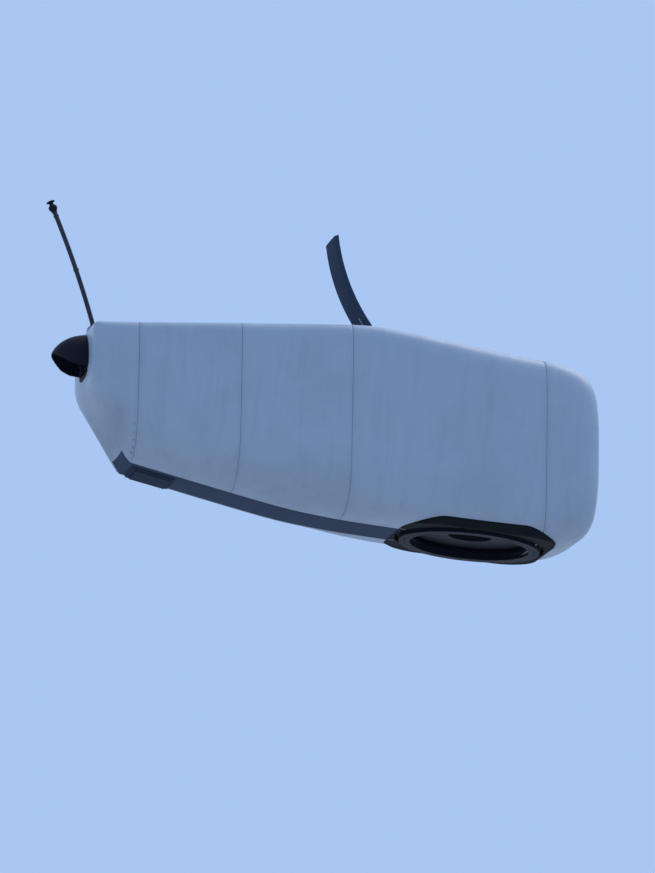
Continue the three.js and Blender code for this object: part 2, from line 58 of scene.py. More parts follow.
SHARP_EDGE = math.radians(35.0)
Z_AXIS = np.array([[0.0, 0.0, 1.0]])


class Body(Enum):
    """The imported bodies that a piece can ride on."""

    TOWER_RING = "tower_ring"
    NACELLE = "nacelle"
    HATCH = "hatch"


class Side(Enum):
    """The two sides of the housing, with the sign of their Y."""

    LEFT = 1
    RIGHT = -1


def smoothstep(value: Grid, low: float, high: float) -> Grid:
    """The cubic step 3t^2 - 2t^3 of a value between two limits.

    Args:
        value: The numbers to step.
        low: Where the step starts from 0.
        high: Where it has reached 1.

    Returns:
        The stepped numbers.
    """
    t = np.clip((np.asarray(value, float) - low) / (high - low), 0.0, 1.0)
    return t * t * (3.0 - 2.0 * t)


def quarter_circle(t: Grid) -> Grid:
    """How far a quarter circle of radius 1 has turned in at t, from 0 at t 0 to 1 at t 1."""
    return 1.0 - np.sqrt(1.0 - np.clip(t, 0.0, 1.0) ** 2)


def xyz(x: Grid | float, y: Grid | float, z: Grid | float) -> Grid:
    """Joins three coordinates into points. Each is an array, or one number for all."""
    return np.stack(np.broadcast_arrays(x, y, z), axis=-1)


def full_turn(sides: int) -> Grid:
    """Even steps round a full turn, in radians, without its end."""
    return np.linspace(0.0, 2.0 * math.pi, sides, endpoint=False)


def turned_about_y(points: Grid, angle: float) -> Grid:
    """Turns points about the Y axis through the origin, by the right-hand rule.

    Args:
        points: An array whose last axis is x, y, z.
        angle: The turn in radians.

    Returns:
        The turned points.
    """
    c, s = math.cos(angle), math.sin(angle)
    x, y, z = points[..., 0], points[..., 1], points[..., 2]
    return xyz(x * c + z * s, y, -x * s + z * c)


def from_drawing(points: Grid) -> Grid:
    """Moves points from the drawing frame, at the tower's axis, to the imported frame."""
    return points - np.array([SEAT, 0.0, 0.0])


def along_shaft(points: Grid) -> Grid:
    """Moves points from the tilted shaft's own frame, with X along it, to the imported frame."""
    return from_drawing(turned_about_y(points, -TILT) + np.array([0.0, 0.0, SHAFT_HEIGHT]))


def revolved(profile: Profile, turn: Grid) -> Grid:
    """Turns a profile round the Z axis: x and y are the radius times the turn's cosine and sine.

    Args:
        profile: Pairs of a height and a radius, which may change with the turn.
        turn: The turns in radians.

    Returns:
        A grid of points, profile by turn.
    """
    return np.stack([xyz(radius * np.cos(turn), radius * np.sin(turn), height) for height, radius in profile])


def swept(path: Grid, radius: Grid | float, sides: int) -> Grid:
    """Carries a circle along a path: the path plus the radius times two normals' cosine and sine.

    Args:
        path: Points of the centre line.
        radius: The tube's radius, one number or one for each point.
        sides: Number of steps round.

    Returns:
        A grid of points, path by turn.
    """
    tangent = np.gradient(path, axis=0)
    tangent /= np.linalg.norm(tangent, axis=1, keepdims=True)
    mostly_y = abs(tangent.mean(axis=0)[1]) >= 0.7
    guide = np.array([1.0, 0.0, 0.0]) if mostly_y else np.array([0.0, 1.0, 0.0])
    first = np.cross(tangent, guide)
    first /= np.linalg.norm(first, axis=1, keepdims=True)
    second = np.cross(tangent, first)
    turn = full_turn(sides)[None, :, None]
    wide = np.broadcast_to(np.asarray(radius, float), len(path))[:, None, None]
    return path[:, None] + wide * (first[:, None] * np.cos(turn) + second[:, None] * np.sin(turn))


def rounded_box(width: float, height: float, radius: float, steps: int = 4) -> Grid:
    """A rounded rectangle's outline: four quarter circles joined by straight lines.

    Args:
        width: Its full width.
        height: Its full height.
        radius: Corner radius.
        steps: Steps in each corner.

    Returns:
        Pairs of coordinates round the outline.
    """
    corner = np.linspace(0.0, math.pi / 2.0, steps + 1)
    parts = []
    for index, (sx, sy) in enumerate([(1, 1), (-1, 1), (-1, -1), (1, -1)]):
        turn = corner + index * math.pi / 2.0
        centre = np.array([sx * (width / 2.0 - radius), sy * (height / 2.0 - radius)])
        parts.append(centre + radius * np.stack([np.cos(turn), np.sin(turn)], axis=-1))
    return np.concatenate(parts)


def subdivided(outline: Grid, pitch: float) -> Grid:
    """Splits each side of a closed outline into even steps no longer than the pitch.

    Args:
        outline: Its corners, one to a row.
        pitch: The longest step.

    Returns:
        The corners with the points between them.
    """
    step = np.roll(outline, -1, axis=0) - outline
    counts = np.maximum(1, np.ceil(np.linalg.norm(step, axis=1) / pitch)).astype(int)
    side = np.repeat(np.arange(len(outline)), counts)
    first = (np.cumsum(counts) - counts)[side]
    share = (np.arange(len(side)) - first) / counts[side]
    return outline[side] + step[side] * share[:, None]


def spaced(outline: Grid, pitch: float) -> Grid:
    """Points at even distances along a closed outline.

    Args:
        outline: Its corners, one to a row.
        pitch: The distance wanted between two points.

    Returns:
        The points.
    """
    closed = np.concatenate([outline, outline[:1]])
    length = np.concatenate([[0.0], np.cumsum(np.linalg.norm(np.diff(closed, axis=0), axis=1))])
    spots = np.linspace(0.0, length[-1], round(length[-1] / pitch), endpoint=False)
    return np.column_stack([np.interp(spots, length, closed[:, axis]) for axis in range(2)])


def grid_faces(rows: int, columns: int, wrap: bool = False, loop: bool = False) -> Grid:
    """Faces between a grid's points: each joins four neighbours, row to row and column to column.

    Args:
        rows: Number of rows.
        columns: Number of columns.
        wrap: Whether the last column joins the first.
        loop: Whether the last row joins the first.

    Returns:
        Rows of four indices into the grid's points.
    """
    index = np.arange(rows * columns).reshape(rows, columns)
    if wrap:
        index = np.concatenate([index, index[:, :1]], axis=1)
    if loop:
        index = np.concatenate([index, index[:1]], axis=0)
    return np.stack([index[:-1, :-1], index[:-1, 1:], index[1:, 1:], index[1:, :-1]], axis=-1).reshape(-1, 4)


@dataclass
class Piece:
    """Gathers grids of points into one mesh object."""

    name: str
    body: Body
    points: list[Grid] = field(default_factory=list)
    faces: list[Grid] = field(default_factory=list)
    marks: list[Grid] = field(default_factory=list)
    count: int = 0

    def add(self, points: Grid, faces: Grid, mark: Grid | float = 0.0) -> None:
        """Adds loose points and the faces between them.

        Args:
            points: Points, one to a row.
            faces: Rows of three or four indices into the points.
            mark: A share of grime for each point, or one for all; on the tail it also holds painted shade.
        """
        points = points.reshape(-1, 3)
        self.points.append(points)
        self.faces.append(faces + self.count)
        self.marks.append(np.broadcast_to(np.asarray(mark, float).reshape(-1), len(points)))
        self.count += len(points)

    def grid(self, points: Grid, wrap: bool = False, loop: bool = False, mark: Grid | float = 0.0) -> None:
        """Adds a grid.

        Args:
            points: Points in rows and columns.
            wrap: Whether the last column joins the first.
            loop: Whether the last row joins the first.
            mark: A share of grime for each point, or one for all.
        """
        self.add(points, grid_faces(*points.shape[:2], wrap, loop), mark)

    def tube(self, points: Grid) -> None:
        """Adds a grid that wraps round, and closes both its ends with a fan to the middle.

        Args:
            points: Points in rows and columns.
        """
        rows, columns = points.shape[:2]
        start = self.count
        self.grid(points, wrap=True)
        for row in (0, rows - 1):
            ring = start + row * columns + np.arange(columns) - self.count
            fan = np.stack([ring, np.roll(ring, -1), np.zeros(columns, int)], axis=-1)
            self.add(points[row].mean(axis=0), fan)

    def copies(self, points: Grid, centres: Grid, normals: Grid) -> None:
        """Adds a small grid at many places, with its Z turned to each place's normal.

        Args:
            points: The small grid, which wraps round Z from its foot to its top.
            centres: One place to a row.
            normals: One direction to a row, or one row for all places.
        """
        normal = np.broadcast_to(normals, centres.shape)
        normal = normal / np.linalg.norm(normal, axis=1, keepdims=True)
        helper = np.where(np.abs(normal[:, :1]) < 0.8, np.array([1.0, 0.0, 0.0]), np.array([0.0, 1.0, 0.0]))
        first = np.cross(helper, normal)
        first /= np.linalg.norm(first, axis=1, keepdims=True)
        basis = np.stack([first, np.cross(normal, first), normal], axis=1)
        rows, columns = points.shape[:2]
        placed = np.einsum("pk,nkj->npj", points.reshape(-1, 3), basis) + centres[:, None, :]
        shifts = (np.arange(len(centres)) * rows * columns)[:, None, None]
        self.add(placed, (grid_faces(rows, columns, wrap=True) + shifts).reshape(-1, 4))

    def make(self, finish: "Finish", slot: str) -> bpy.types.Object:
        """Makes the mesh object, turns its faces outward, dresses it and lets it ride.

        Args:
            finish: Its material.
            slot: The record's material slot; not used.

        Returns:
            The object.
        """
        mesh = bpy.data.meshes.new(self.name)
        faces = [row for block in self.faces for row in block.tolist()]
        mesh.from_pydata(np.concatenate(self.points).tolist(), [], faces)
        grime_and_shade = mesh.attributes.new("grime_and_shade", "FLOAT", "POINT")
        grime_and_shade.data.foreach_set("value", np.concatenate(self.marks).astype(np.float32))
        work = bmesh.new()
        work.from_mesh(mesh)
        bmesh.ops.remove_doubles(work, verts=work.verts, dist=1e-5)
        bmesh.ops.recalc_face_normals(work, faces=work.faces)
        work.to_mesh(mesh)
        work.free()
        mesh.shade_smooth()
        mesh.set_sharp_from_angle(angle=SHARP_EDGE)
        made = bpy.data.objects.new(self.name, mesh)
        bpy.context.scene.collection.objects.link(made)
        mesh.materials.append(finish.material())
        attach(made, self.body.value)
        LOG.info("%s: %d faces", self.name, len(mesh.polygons))
        return made


MADE: dict[str, bpy.types.Material] = {}


@dataclass(frozen=True)
class Finish:
    """A painted or moulded finish whose colour, gloss and bump vary over the surface.

    The colour mixes clean and worn by three noises: wide clouds, streaks that run down, and fine specks.
    The mesh's own attribute of grime adds to the worn share; on the tail it also holds painted shade.
    """

    name: str
    clean: tuple[float, float, float]
    worn_and_shaded: tuple[float, float, float]
    roughness: float = 0.45
    metallic: float = 0.0
    specular: float = 0.5
    clouds: float = 0.9
    cloud_share: float = 0.25
    streak_share: float = 0.25
    grime_and_shade_share: float = 0.6
    grain: float = 60.0
    bump: float = 0.0015

    def material(self) -> bpy.types.Material:
        """Gives the finish's material, made once."""
        if self.name not in MADE:
            MADE[self.name] = self._make()
        return MADE[self.name]

    def _make(self) -> bpy.types.Material:
        """Builds the node tree of the finish.

        Returns:
            The material.
        """
        material = bpy.data.materials.new(self.name)
        material.use_nodes = True
        tree = material.node_tree
        shader = tree.nodes["Principled BSDF"]
        shader.inputs["Metallic"].default_value = self.metallic
        shader.inputs["Specular IOR Level"].default_value = self.specular
        clouds = self._noise(tree, self.clouds, detail=6.0, rough=0.6)
        streaks = self._noise(tree, 5.5, detail=5.0, rough=0.65, stretch=(1.0, 1.0, 0.09))
        specks = self._noise(tree, self.grain, detail=3.0, rough=0.5)
        # this attribute holds grime, and on the tail painted shade
        grime_and_shade = tree.nodes.new("ShaderNodeAttribute")
        grime_and_shade.attribute_name = "grime_and_shade"
        share = self._sum(
            tree,
            [
                (self._ramp(tree, clouds, 0.42, 0.72), self.cloud_share),
                (self._ramp(tree, streaks, 0.5, 0.78), self.streak_share),
                (self._ramp(tree, specks, 0.55, 0.8), 0.08),
                (grime_and_shade.outputs["Fac"], self.grime_and_shade_share),
            ],
        )
        mix = tree.nodes.new("ShaderNodeMix")
        mix.data_type = "RGBA"
        mix.inputs["A"].default_value = (*self.clean, 1.0)
        mix.inputs["B"].default_value = (*self.worn_and_shaded, 1.0)
        tree.links.new(share, mix.inputs["Factor"])
        tree.links.new(mix.outputs["Result"], shader.inputs["Base Color"])
        gloss = tree.nodes.new("ShaderNodeMapRange")
        gloss.inputs["To Min"].default_value = max(0.05, self.roughness - 0.08)
        gloss.inputs["To Max"].default_value = min(1.0, self.roughness + 0.3)
        tree.links.new(share, gloss.inputs["Value"])
        tree.links.new(gloss.outputs["Result"], shader.inputs["Roughness"])
        fine = self._relief(tree, specks, self.bump, 0.6)
        waves = self._relief(tree, clouds, self.bump * 6.0, 0.35)
        tree.links.new(fine.outputs["Normal"], waves.inputs["Normal"])
        tree.links.new(waves.outputs["Normal"], shader.inputs["Normal"])
        return material

    @staticmethod
    def _noise(
        tree: bpy.types.NodeTree,
        scale: float,
        detail: float,
        rough: float,
        stretch: tuple[float, float, float] = (1.0, 1.0, 1.0),
    ) -> bpy.types.NodeSocket:
        """Adds a noise over the object's own coordinates.

        Args:
            tree: The node tree.
            scale: Its scale.
            detail: Its number of octaves.
            rough: How strong the finer octaves are.
            stretch: A factor for each axis; under 1 draws the noise out along it.

        Returns:
            The noise's height.
        """
        place = tree.nodes.new("ShaderNodeTexCoord")
        mapping = tree.nodes.new("ShaderNodeMapping")
        mapping.inputs["Scale"].default_value = stretch
        tree.links.new(place.outputs["Object"], mapping.inputs["Vector"])
        noise = tree.nodes.new("ShaderNodeTexNoise")
        noise.inputs["Scale"].default_value = scale
        noise.inputs["Detail"].default_value = detail
        noise.inputs["Roughness"].default_value = rough
        tree.links.new(mapping.outputs["Vector"], noise.inputs["Vector"])
        return noise.outputs["Fac"]

    @staticmethod
    def _ramp(
        tree: bpy.types.NodeTree, value: bpy.types.NodeSocket, low: float, high: float
    ) -> bpy.types.NodeSocket:
        """Spreads a value between two limits over 0 to 1.

        Args:
            tree: The node tree.
            value: The value.
            low: What becomes 0.
            high: What becomes 1.

        Returns:
            The spread value.
        """
        node = tree.nodes.new("ShaderNodeMapRange")
        node.inputs["From Min"].default_value = low
        node.inputs["From Max"].default_value = high
        tree.links.new(value, node.inputs["Value"])
        return node.outputs["Result"]

    @staticmethod
    def _relief(
        tree: bpy.types.NodeTree, height: bpy.types.NodeSocket, distance: float, strength: float
    ) -> bpy.types.Node:
        """Adds a bump from a height.

        Args:
            tree: The node tree.
            height: The height.
            distance: How deep it is, in metres.
            strength: How much of it shows.

        Returns:
            The bump node.
        """
        node = tree.nodes.new("ShaderNodeBump")
        node.inputs["Distance"].default_value = distance
        node.inputs["Strength"].default_value = strength
        tree.links.new(height, node.inputs["Height"])
        return node

    @staticmethod
    def _sum(
        tree: bpy.types.NodeTree, terms: Sequence[tuple[bpy.types.NodeSocket, float]]
    ) -> bpy.types.NodeSocket:
        """Adds weighted values and holds the sum between 0 and 1.

        Args:
            tree: The node tree.
            terms: Pairs of a value and its weight.

        Returns:
            The held sum.
        """
        total = None
        for value, weight in terms:
            node = tree.nodes.new("ShaderNodeMath")
            node.operation = "MULTIPLY_ADD"
            node.inputs[1].default_value = weight
            node.inputs[2].default_value = 0.0
            tree.links.new(value, node.inputs[0])
            if total is not None:
                tree.links.new(total, node.inputs[2])
            total = node.outputs[0]
        node.use_clamp = True
        return total


class Finishes:
    """The finishes of the nacelle's pieces."""

    GELCOAT = Finish(
        "pale_gelcoat", (0.35, 0.415, 0.49), (0.21, 0.235, 0.265),
        roughness=0.5, specular=0.3, cloud_share=0.2, streak_share=0.2,
    )
    # dark slate roof hatch lid: painted shade on its gelcoat
    LID_SHADE = Finish(
        "lid_painted_shade", (0.038, 0.056, 0.088), (0.023, 0.031, 0.046),
        roughness=0.85, specular=0.04, grain=260.0, bump=0.0025,
    )
    # dark blue-grey belly: painted shade of the housing's underside
    BELLY = Finish(
        "belly_gelcoat_painted_shade", (0.056, 0.075, 0.114), (0.039, 0.048, 0.067),
        roughness=0.85, specular=0.03, grain=40.0,
    )
    # dark navy belly hatch: painted shade of the underside
    HATCH = Finish(
        "belly_hatch_painted_shade", (0.034, 0.045, 0.068), (0.02, 0.025, 0.035),
        roughness=0.85, specular=0.03, grain=40.0,
    )
    # near black: dark plastic on the wind sensor, painted shade on the outlet hood, its bead, surround and
    # louvre
    DARK = Finish(
        "dark_plastic_skin", (0.009, 0.008, 0.016), (0.016, 0.016, 0.021),
        roughness=0.6, specular=0.1, grain=160.0, bump=0.0008,
    )
    SEALANT = Finish(
        "grey_sealant", (0.17, 0.2, 0.235), (0.1, 0.112, 0.128),
        roughness=0.7, specular=0.2, grain=120.0, bump=0.0006,
    )
    # black rubber for seals and trim; on the hole discs it is painted shade of deep holes
    RUBBER = Finish(
        "black_rubber_and_hole_shade", (0.007, 0.007, 0.009), (0.022, 0.021, 0.02),
        roughness=0.8, specular=0.12, grain=220.0, bump=0.0006,
    )
    # near-black steel: painted shade of the yaw rings inside the tower opening
    RING = Finish(
        "steel_painted_shade", (0.007, 0.01, 0.018), (0.004, 0.0055, 0.009),
        roughness=0.55, metallic=0.2, specular=0.1, grain=90.0, bump=0.0005,
    )
    # near-black yaw seat: painted shade inside the tower opening
    SEAT = Finish(
        "seat_painted_shade", (0.012, 0.013, 0.016), (0.006, 0.006, 0.006),
        roughness=0.6, specular=0.15, grain=30.0, bump=0.001,
    )
    FRAME = Finish(
        "satin_paint", (0.2, 0.225, 0.25), (0.09, 0.09, 0.09), roughness=0.5, grain=45.0, bump=0.001
    )
    STEEL = Finish(
        "turned_steel", (0.5, 0.51, 0.52), (0.25, 0.2, 0.16),
        roughness=0.3, metallic=0.95, grain=120.0, bump=0.0003,
    )
    ZINC = Finish(
        "dull_zinc", (0.30, 0.32, 0.35), (0.17, 0.18, 0.19),
        roughness=0.5, metallic=0.7, clouds=9.0, grain=70.0, bump=0.0004,
    )
    # dark blue-grey mast: painted shade on a galvanised tube
    MAST = Finish(
        "mast_painted_shade", (0.03, 0.036, 0.05), (0.018, 0.02, 0.024),
        roughness=0.55, specular=0.2, clouds=4.0, grain=110.0, bump=0.0004,
    )
    FLOOR = Finish(
        "studio_pale", (0.54, 0.56, 0.58), (0.51, 0.53, 0.55),
        roughness=0.9, clouds=0.02, cloud_share=0.2, streak_share=0.0, grime_and_shade_share=0.0,
        grain=0.5, bump=0.0001,
    )


@dataclass(frozen=True)
class Section:
    """Superellipses across the housing, each with its own height and power above and below its middle."""

    half: Grid
    middle: Grid
    above: Grid
    below: Grid
    top_power: Grid
    bottom_power: Grid

    def rise(self, y: Grid | float, upper: bool) -> Grid:
        """Height of the outline over the middle at y: the full height times (1 - (y / half)^n)^(1 / n).

        Args:
            y: Distances from the centre plane.
            upper: Whether the upper outline is meant or the lower.

        Returns:
            The heights, negative under the middle.
        """
        height, n = (self.above, self.top_power) if upper else (-self.below, self.bottom_power)
        return height * np.maximum(0.0, 1.0 - np.abs(y / self.half) ** n) ** (1.0 / n)

    def radius(self, turn: Grid) -> Grid:
        """Distance of the outline from the middle at a turn: (|cos / half|^n + |sin / height|^n)^(-1 / n).

        Args:
            turn: Turns in radians from +Y towards +Z.

        Returns:
            The distances.
        """
        c, s = np.cos(turn), np.sin(turn)
        height = np.where(s >= 0.0, self.above, self.below)
        n = np.where(s >= 0.0, self.top_power, self.bottom_power)
        return (np.abs(c / self.half) ** n + np.abs(s / height) ** n) ** (-1.0 / n)


@dataclass(frozen=True)
class HullForm:
    """The housing's outer form, one superellipse at each station along its length.

    A corner of its side view is a pair of station and height, and a bend is the width over which two lines
    round into each other. A taper is the half width lost at an end and the power of its run. A rounding is
    the station where it starts and its power. A pair of powers goes with the pair of stations between which
    the one becomes the other. The roof, belly and sides round into the front face, which is nearly a circle.
    Outside the stations of the end walls the skin's thickness turns from across the housing to along it. The
    first guess is the height of the roof and of the belly at which the search for a height starts.
    """

    nose: float = 2.17
    tail: float = -7.96
    lean: float = math.tan(TILT)
    lean_z: float = 1.9
    skin: float = 0.06
    crest: tuple[float, float] = (-2.43, 3.885)
    crest_bend: float = 0.06
    roof_slopes: tuple[float, float] = (0.123, 0.048)
    belly: tuple[float, float] = (-3.7, 0.04)
    belly_bend: float = 0.09
    belly_slope: float = 0.1566
    rake: tuple[float, float] = (-7.12, 0.576)
    rake_bend: float = 0.02
    rake_slope: float = 1.58
    widest: float = 1.75
    widest_at: float = -1.5
    rear_taper: tuple[float, float] = (0.47, 1.6)
    front_taper: tuple[float, float] = (0.12, 2.0)
    middle_drop: float = 0.06
    face_z: float = 1.85
    face_half: float = 1.13
    face_power: float = 2.1
    top_rounding: tuple[float, float] = (1.0, 3.0)
    bottom_rounding: tuple[float, float] = (0.7, 2.2)
    top_powers: tuple[float, float] = (9.0, 6.0)
    top_change: tuple[float, float] = (-3.0, 0.6)
    bottom_powers: tuple[float, float] = (3.2, 6.0)
    bottom_change: tuple[float, float] = (-3.6, -1.6)
    tail_edge: float = 0.12
    end_walls: tuple[float, float] = (-6.3, 0.9)
    first_guess: tuple[float, float] = (3.8, 0.1)

    @staticmethod
    def _blended(a: Grid, b: Grid | float, width: float, sign: float) -> Grid:
        """The lower (sign 1) or higher (sign -1) of two lines, with a rounded corner where they meet."""
        return (a + b - sign * np.sqrt((a - b) ** 2 + width**2)) / 2.0

    def roof_line(self, station: Grid) -> Grid:
        """Height of the roof's middle: two straight lines that fall away behind and ahead of the crest.

        Args:
            station: Stations along the housing.

        Returns:
            The heights.
        """
        run = station - self.crest[0]
        behind, ahead = self.roof_slopes
        return self._blended(self.crest[1] + behind * run, self.crest[1] - ahead * run, self.crest_bend, 1.0)

    def belly_line(self, station: Grid) -> Grid:
        """Height of the belly's lowest line: level, then rising to the tail, then the raked tail.

        Args:
            station: Stations along the housing.

        Returns:
            The heights.
        """
        rising = self.belly[1] - self.belly_slope * (station - self.belly[0])
        raked = self.rake[1] - self.rake_slope * (station - self.rake[0])
        rising = self._blended(rising, self.belly[1], self.belly_bend, -1.0)
        return self._blended(rising, raked, self.rake_bend, -1.0)

    def _rounding(self, station: Grid, start: float, power: float) -> Grid:
        """Falls from 1 at the start to 0 at the front face along a superellipse's quarter."""
        t = np.clip((station - start) / (self.nose - start), 0.0, 1.0)
        return (1.0 - t**power) ** (1.0 / power)

    def _narrowed(self, station: Grid, end: float, loss: float, power: float) -> Grid:
        """Half width lost towards an end: the loss there times the share of the way to a power."""
        return loss * np.maximum(0.0, (station - self.widest_at) / (end - self.widest_at)) ** power

    @staticmethod
    def _power(station: Grid, powers: tuple[float, float], change: tuple[float, float]) -> Grid:
        """A power that goes from the first to the second between two stations, by the cubic step."""
        return powers[0] + (powers[1] - powers[0]) * smoothstep(station, *change)

    @staticmethod
    def _from_face(face: float, body: Grid, share: Grid) -> Grid:
        """Mixes a value of the front face, at share 0, with that of the body, at share 1."""
        return face + (body - face) * share

    def section(self, station: Grid, inset: Grid | float) -> Section:
        """The superellipses at stations: the body's lines, rounded into the front face and the rear face.

        Args:
            station: Stations along the housing.
            inset: How far the form is drawn in from the outer face.

        Returns:
            The superellipses.
        """
        upper = self._rounding(station, *self.top_rounding)
        lower = self._rounding(station, *self.bottom_rounding)
        narrowed = self._narrowed(station, self.tail, *self.rear_taper)
        width = self.widest - narrowed - self._narrowed(station, self.nose, *self.front_taper)
        in_tail = np.clip(self.tail + self.tail_edge - station, 0.0, self.tail_edge)
        loss = inset + self.tail_edge - np.sqrt(self.tail_edge**2 - in_tail**2)
        top = self._from_face(self.face_z + self.face_half, self.roof_line(station), upper) - loss
        bottom = self._from_face(self.face_z - self.face_half, self.belly_line(station), lower) + loss
        middle = (top + bottom) / 2.0 - self.middle_drop
        return Section(
            half=self._from_face(self.face_half, width, upper) - loss,
            middle=middle,
            above=top - middle,
            below=middle - bottom,
            top_power=self._from_face(
                self.face_power, self._power(station, self.top_powers, self.top_change), upper
            ),
            bottom_power=self._from_face(
                self.face_power, self._power(station, self.bottom_powers, self.bottom_change), lower
            ),
        )

    def turn_at(self, station: Grid, y: Grid | float, upper: bool) -> Grid:
        """The turn, seen from the section's middle, at which the outer form has a given y.

        Args:
            station: Stations along the housing.
            y: Distances from the centre plane.
            upper: Whether it is looked for above or below the middle.

        Returns:
            The turn in radians from +Y towards +Z.
        """
        return np.arctan2(self.section(station, 0.0).rise(y, upper), y)

    def points(self, station: Grid, turn: Grid, inset: Grid | float) -> Grid:
        """Points of the form, by station and turn, as polar coordinates round each section's middle.

        The inset also moves points along the housing near its ends, so that end walls keep their thickness.

        Args:
            station: Stations along the housing.
            turn: Turns round each section.
            inset: How far the form is drawn in.

        Returns:
            Points in the drawing frame.
        """
        section = self.section(station, inset)
        radius = section.radius(turn)
        rear, front = self.end_walls
        end = 1.0 - smoothstep(station, self.tail, rear) - smoothstep(station, front, self.nose)
        y, z = radius * np.cos(turn), section.middle + radius * np.sin(turn)
        return self.placed(station + inset * end, y, z)

    def placed(self, station: Grid | float, y: Grid | float, z: Grid) -> Grid:
        """Leans each section back with its height."""
        return xyz(station - (z - self.lean_z) * self.lean, y, z)

    def height(self, x: Grid, y: Grid, inset: float, upper: bool) -> Grid:
        """Height of the form over a point of the plan, found by five rounds of substitution.

        Args:
            x: Plan positions along the housing.
            y: Plan positions across it.
            inset: How far the form is drawn in.
            upper: Whether the roof or the belly is looked for.

        Returns:
            The heights.
        """
        z = np.full(np.broadcast(x, y).shape, self.first_guess[0 if upper else 1])
        for _ in range(5):
            section = self.section(x + (z - self.lean_z) * self.lean, inset)
            z = section.middle + section.rise(y, upper)
        return z


@dataclass(frozen=True)
class TowerOpening:
    """The opening for the tower's top: a square with rounded corners round the tower's axis.

    Only what lies under the height below belongs to the underside and is cut.
    """

    half: float = 1.54
    corner: float = 0.78
    below: float = 1.2

    def away(self, x: Grid, y: Grid) -> tuple[Grid, Grid, Grid]:
        """Distance of points from the inner square that the corners' centres span.

        Args:
            x: Plan positions along the housing.
            y: Plan positions across it.

        Returns:
            The distance, which is the corner radius on the opening's edge, and its parts along X and Y.
        """
        flat = self.half - self.corner
        part_x = np.sign(x) * np.maximum(np.abs(x) - flat, 0.0)
        part_y = np.sign(y) * np.maximum(np.abs(y) - flat, 0.0)
        return np.hypot(part_x, part_y), part_x, part_y

    def outside(self, points: Grid) -> Grid:
        """How far points of the housing lie outside the opening's edge in plan, negative inside it."""
        return self.away(points[..., 0], points[..., 1])[0] - self.corner

    def onto_edge(self, x: Grid, y: Grid) -> tuple[Grid, Grid]:
        """Moves points near the edge straight onto it.

        Args:
            x: Plan positions along the housing.
            y: Plan positions across it.

        Returns:
            The moved positions along and across.
        """
        away, part_x, part_y = self.away(x, y)
        scale = self.corner / away - 1.0
        return x + part_x * scale, y + part_y * scale

    def outline(self, inset: float = 0.0) -> Grid:
        """The edge's outline in plan, with every point drawn in at right angles to the edge.

        Args:
            inset: How far it is drawn in.

        Returns:
            The outline's points.
        """
        edge = subdivided(rounded_box(2.0 * self.half, 2.0 * self.half, self.corner, 24), 0.05)
        _, part_x, part_y = self.away(edge[:, 0], edge[:, 1])
        return edge - np.column_stack([part_x, part_y]) * (inset / self.corner)


HULL = HullForm()
OPENING = TowerOpening()
SEAM_GAP = 0.003
EDGE_STEPS = np.array([0.0, 0.0015, 0.004, 0.009])
EDGE_DEPTH = 0.006


def edged(low: float, high: float, pitch: float, extra: Sequence[float] = ()) -> tuple[Grid, Grid]:
    """Positions between two seams, close together at both ends.

    Args:
        low: The lower seam.
        high: The upper seam.
        pitch: Spacing in the middle.
        extra: More positions, left out where they aren't between the seams.

    Returns:
        The positions, and each one's distance to its nearer end.
    """
    first, last = low + SEAM_GAP, high - SEAM_GAP
    inner = np.linspace(first + EDGE_STEPS[-1], last - EDGE_STEPS[-1], max(3, int((high - low) / pitch)))
    between = [spot for spot in extra if low < spot < high]
    spots = np.sort(np.concatenate([first + EDGE_STEPS[:-1], inner, last - EDGE_STEPS[:-1], between]))
    return spots, np.minimum(spots - first, last - spots)


def rolled_edge(distance: Grid) -> Grid:
    """How far an edge is rolled in: a quarter circle over the last 9 mm, 6 mm deep."""
    return EDGE_DEPTH * quarter_circle(1.0 - distance / EDGE_STEPS[-1])


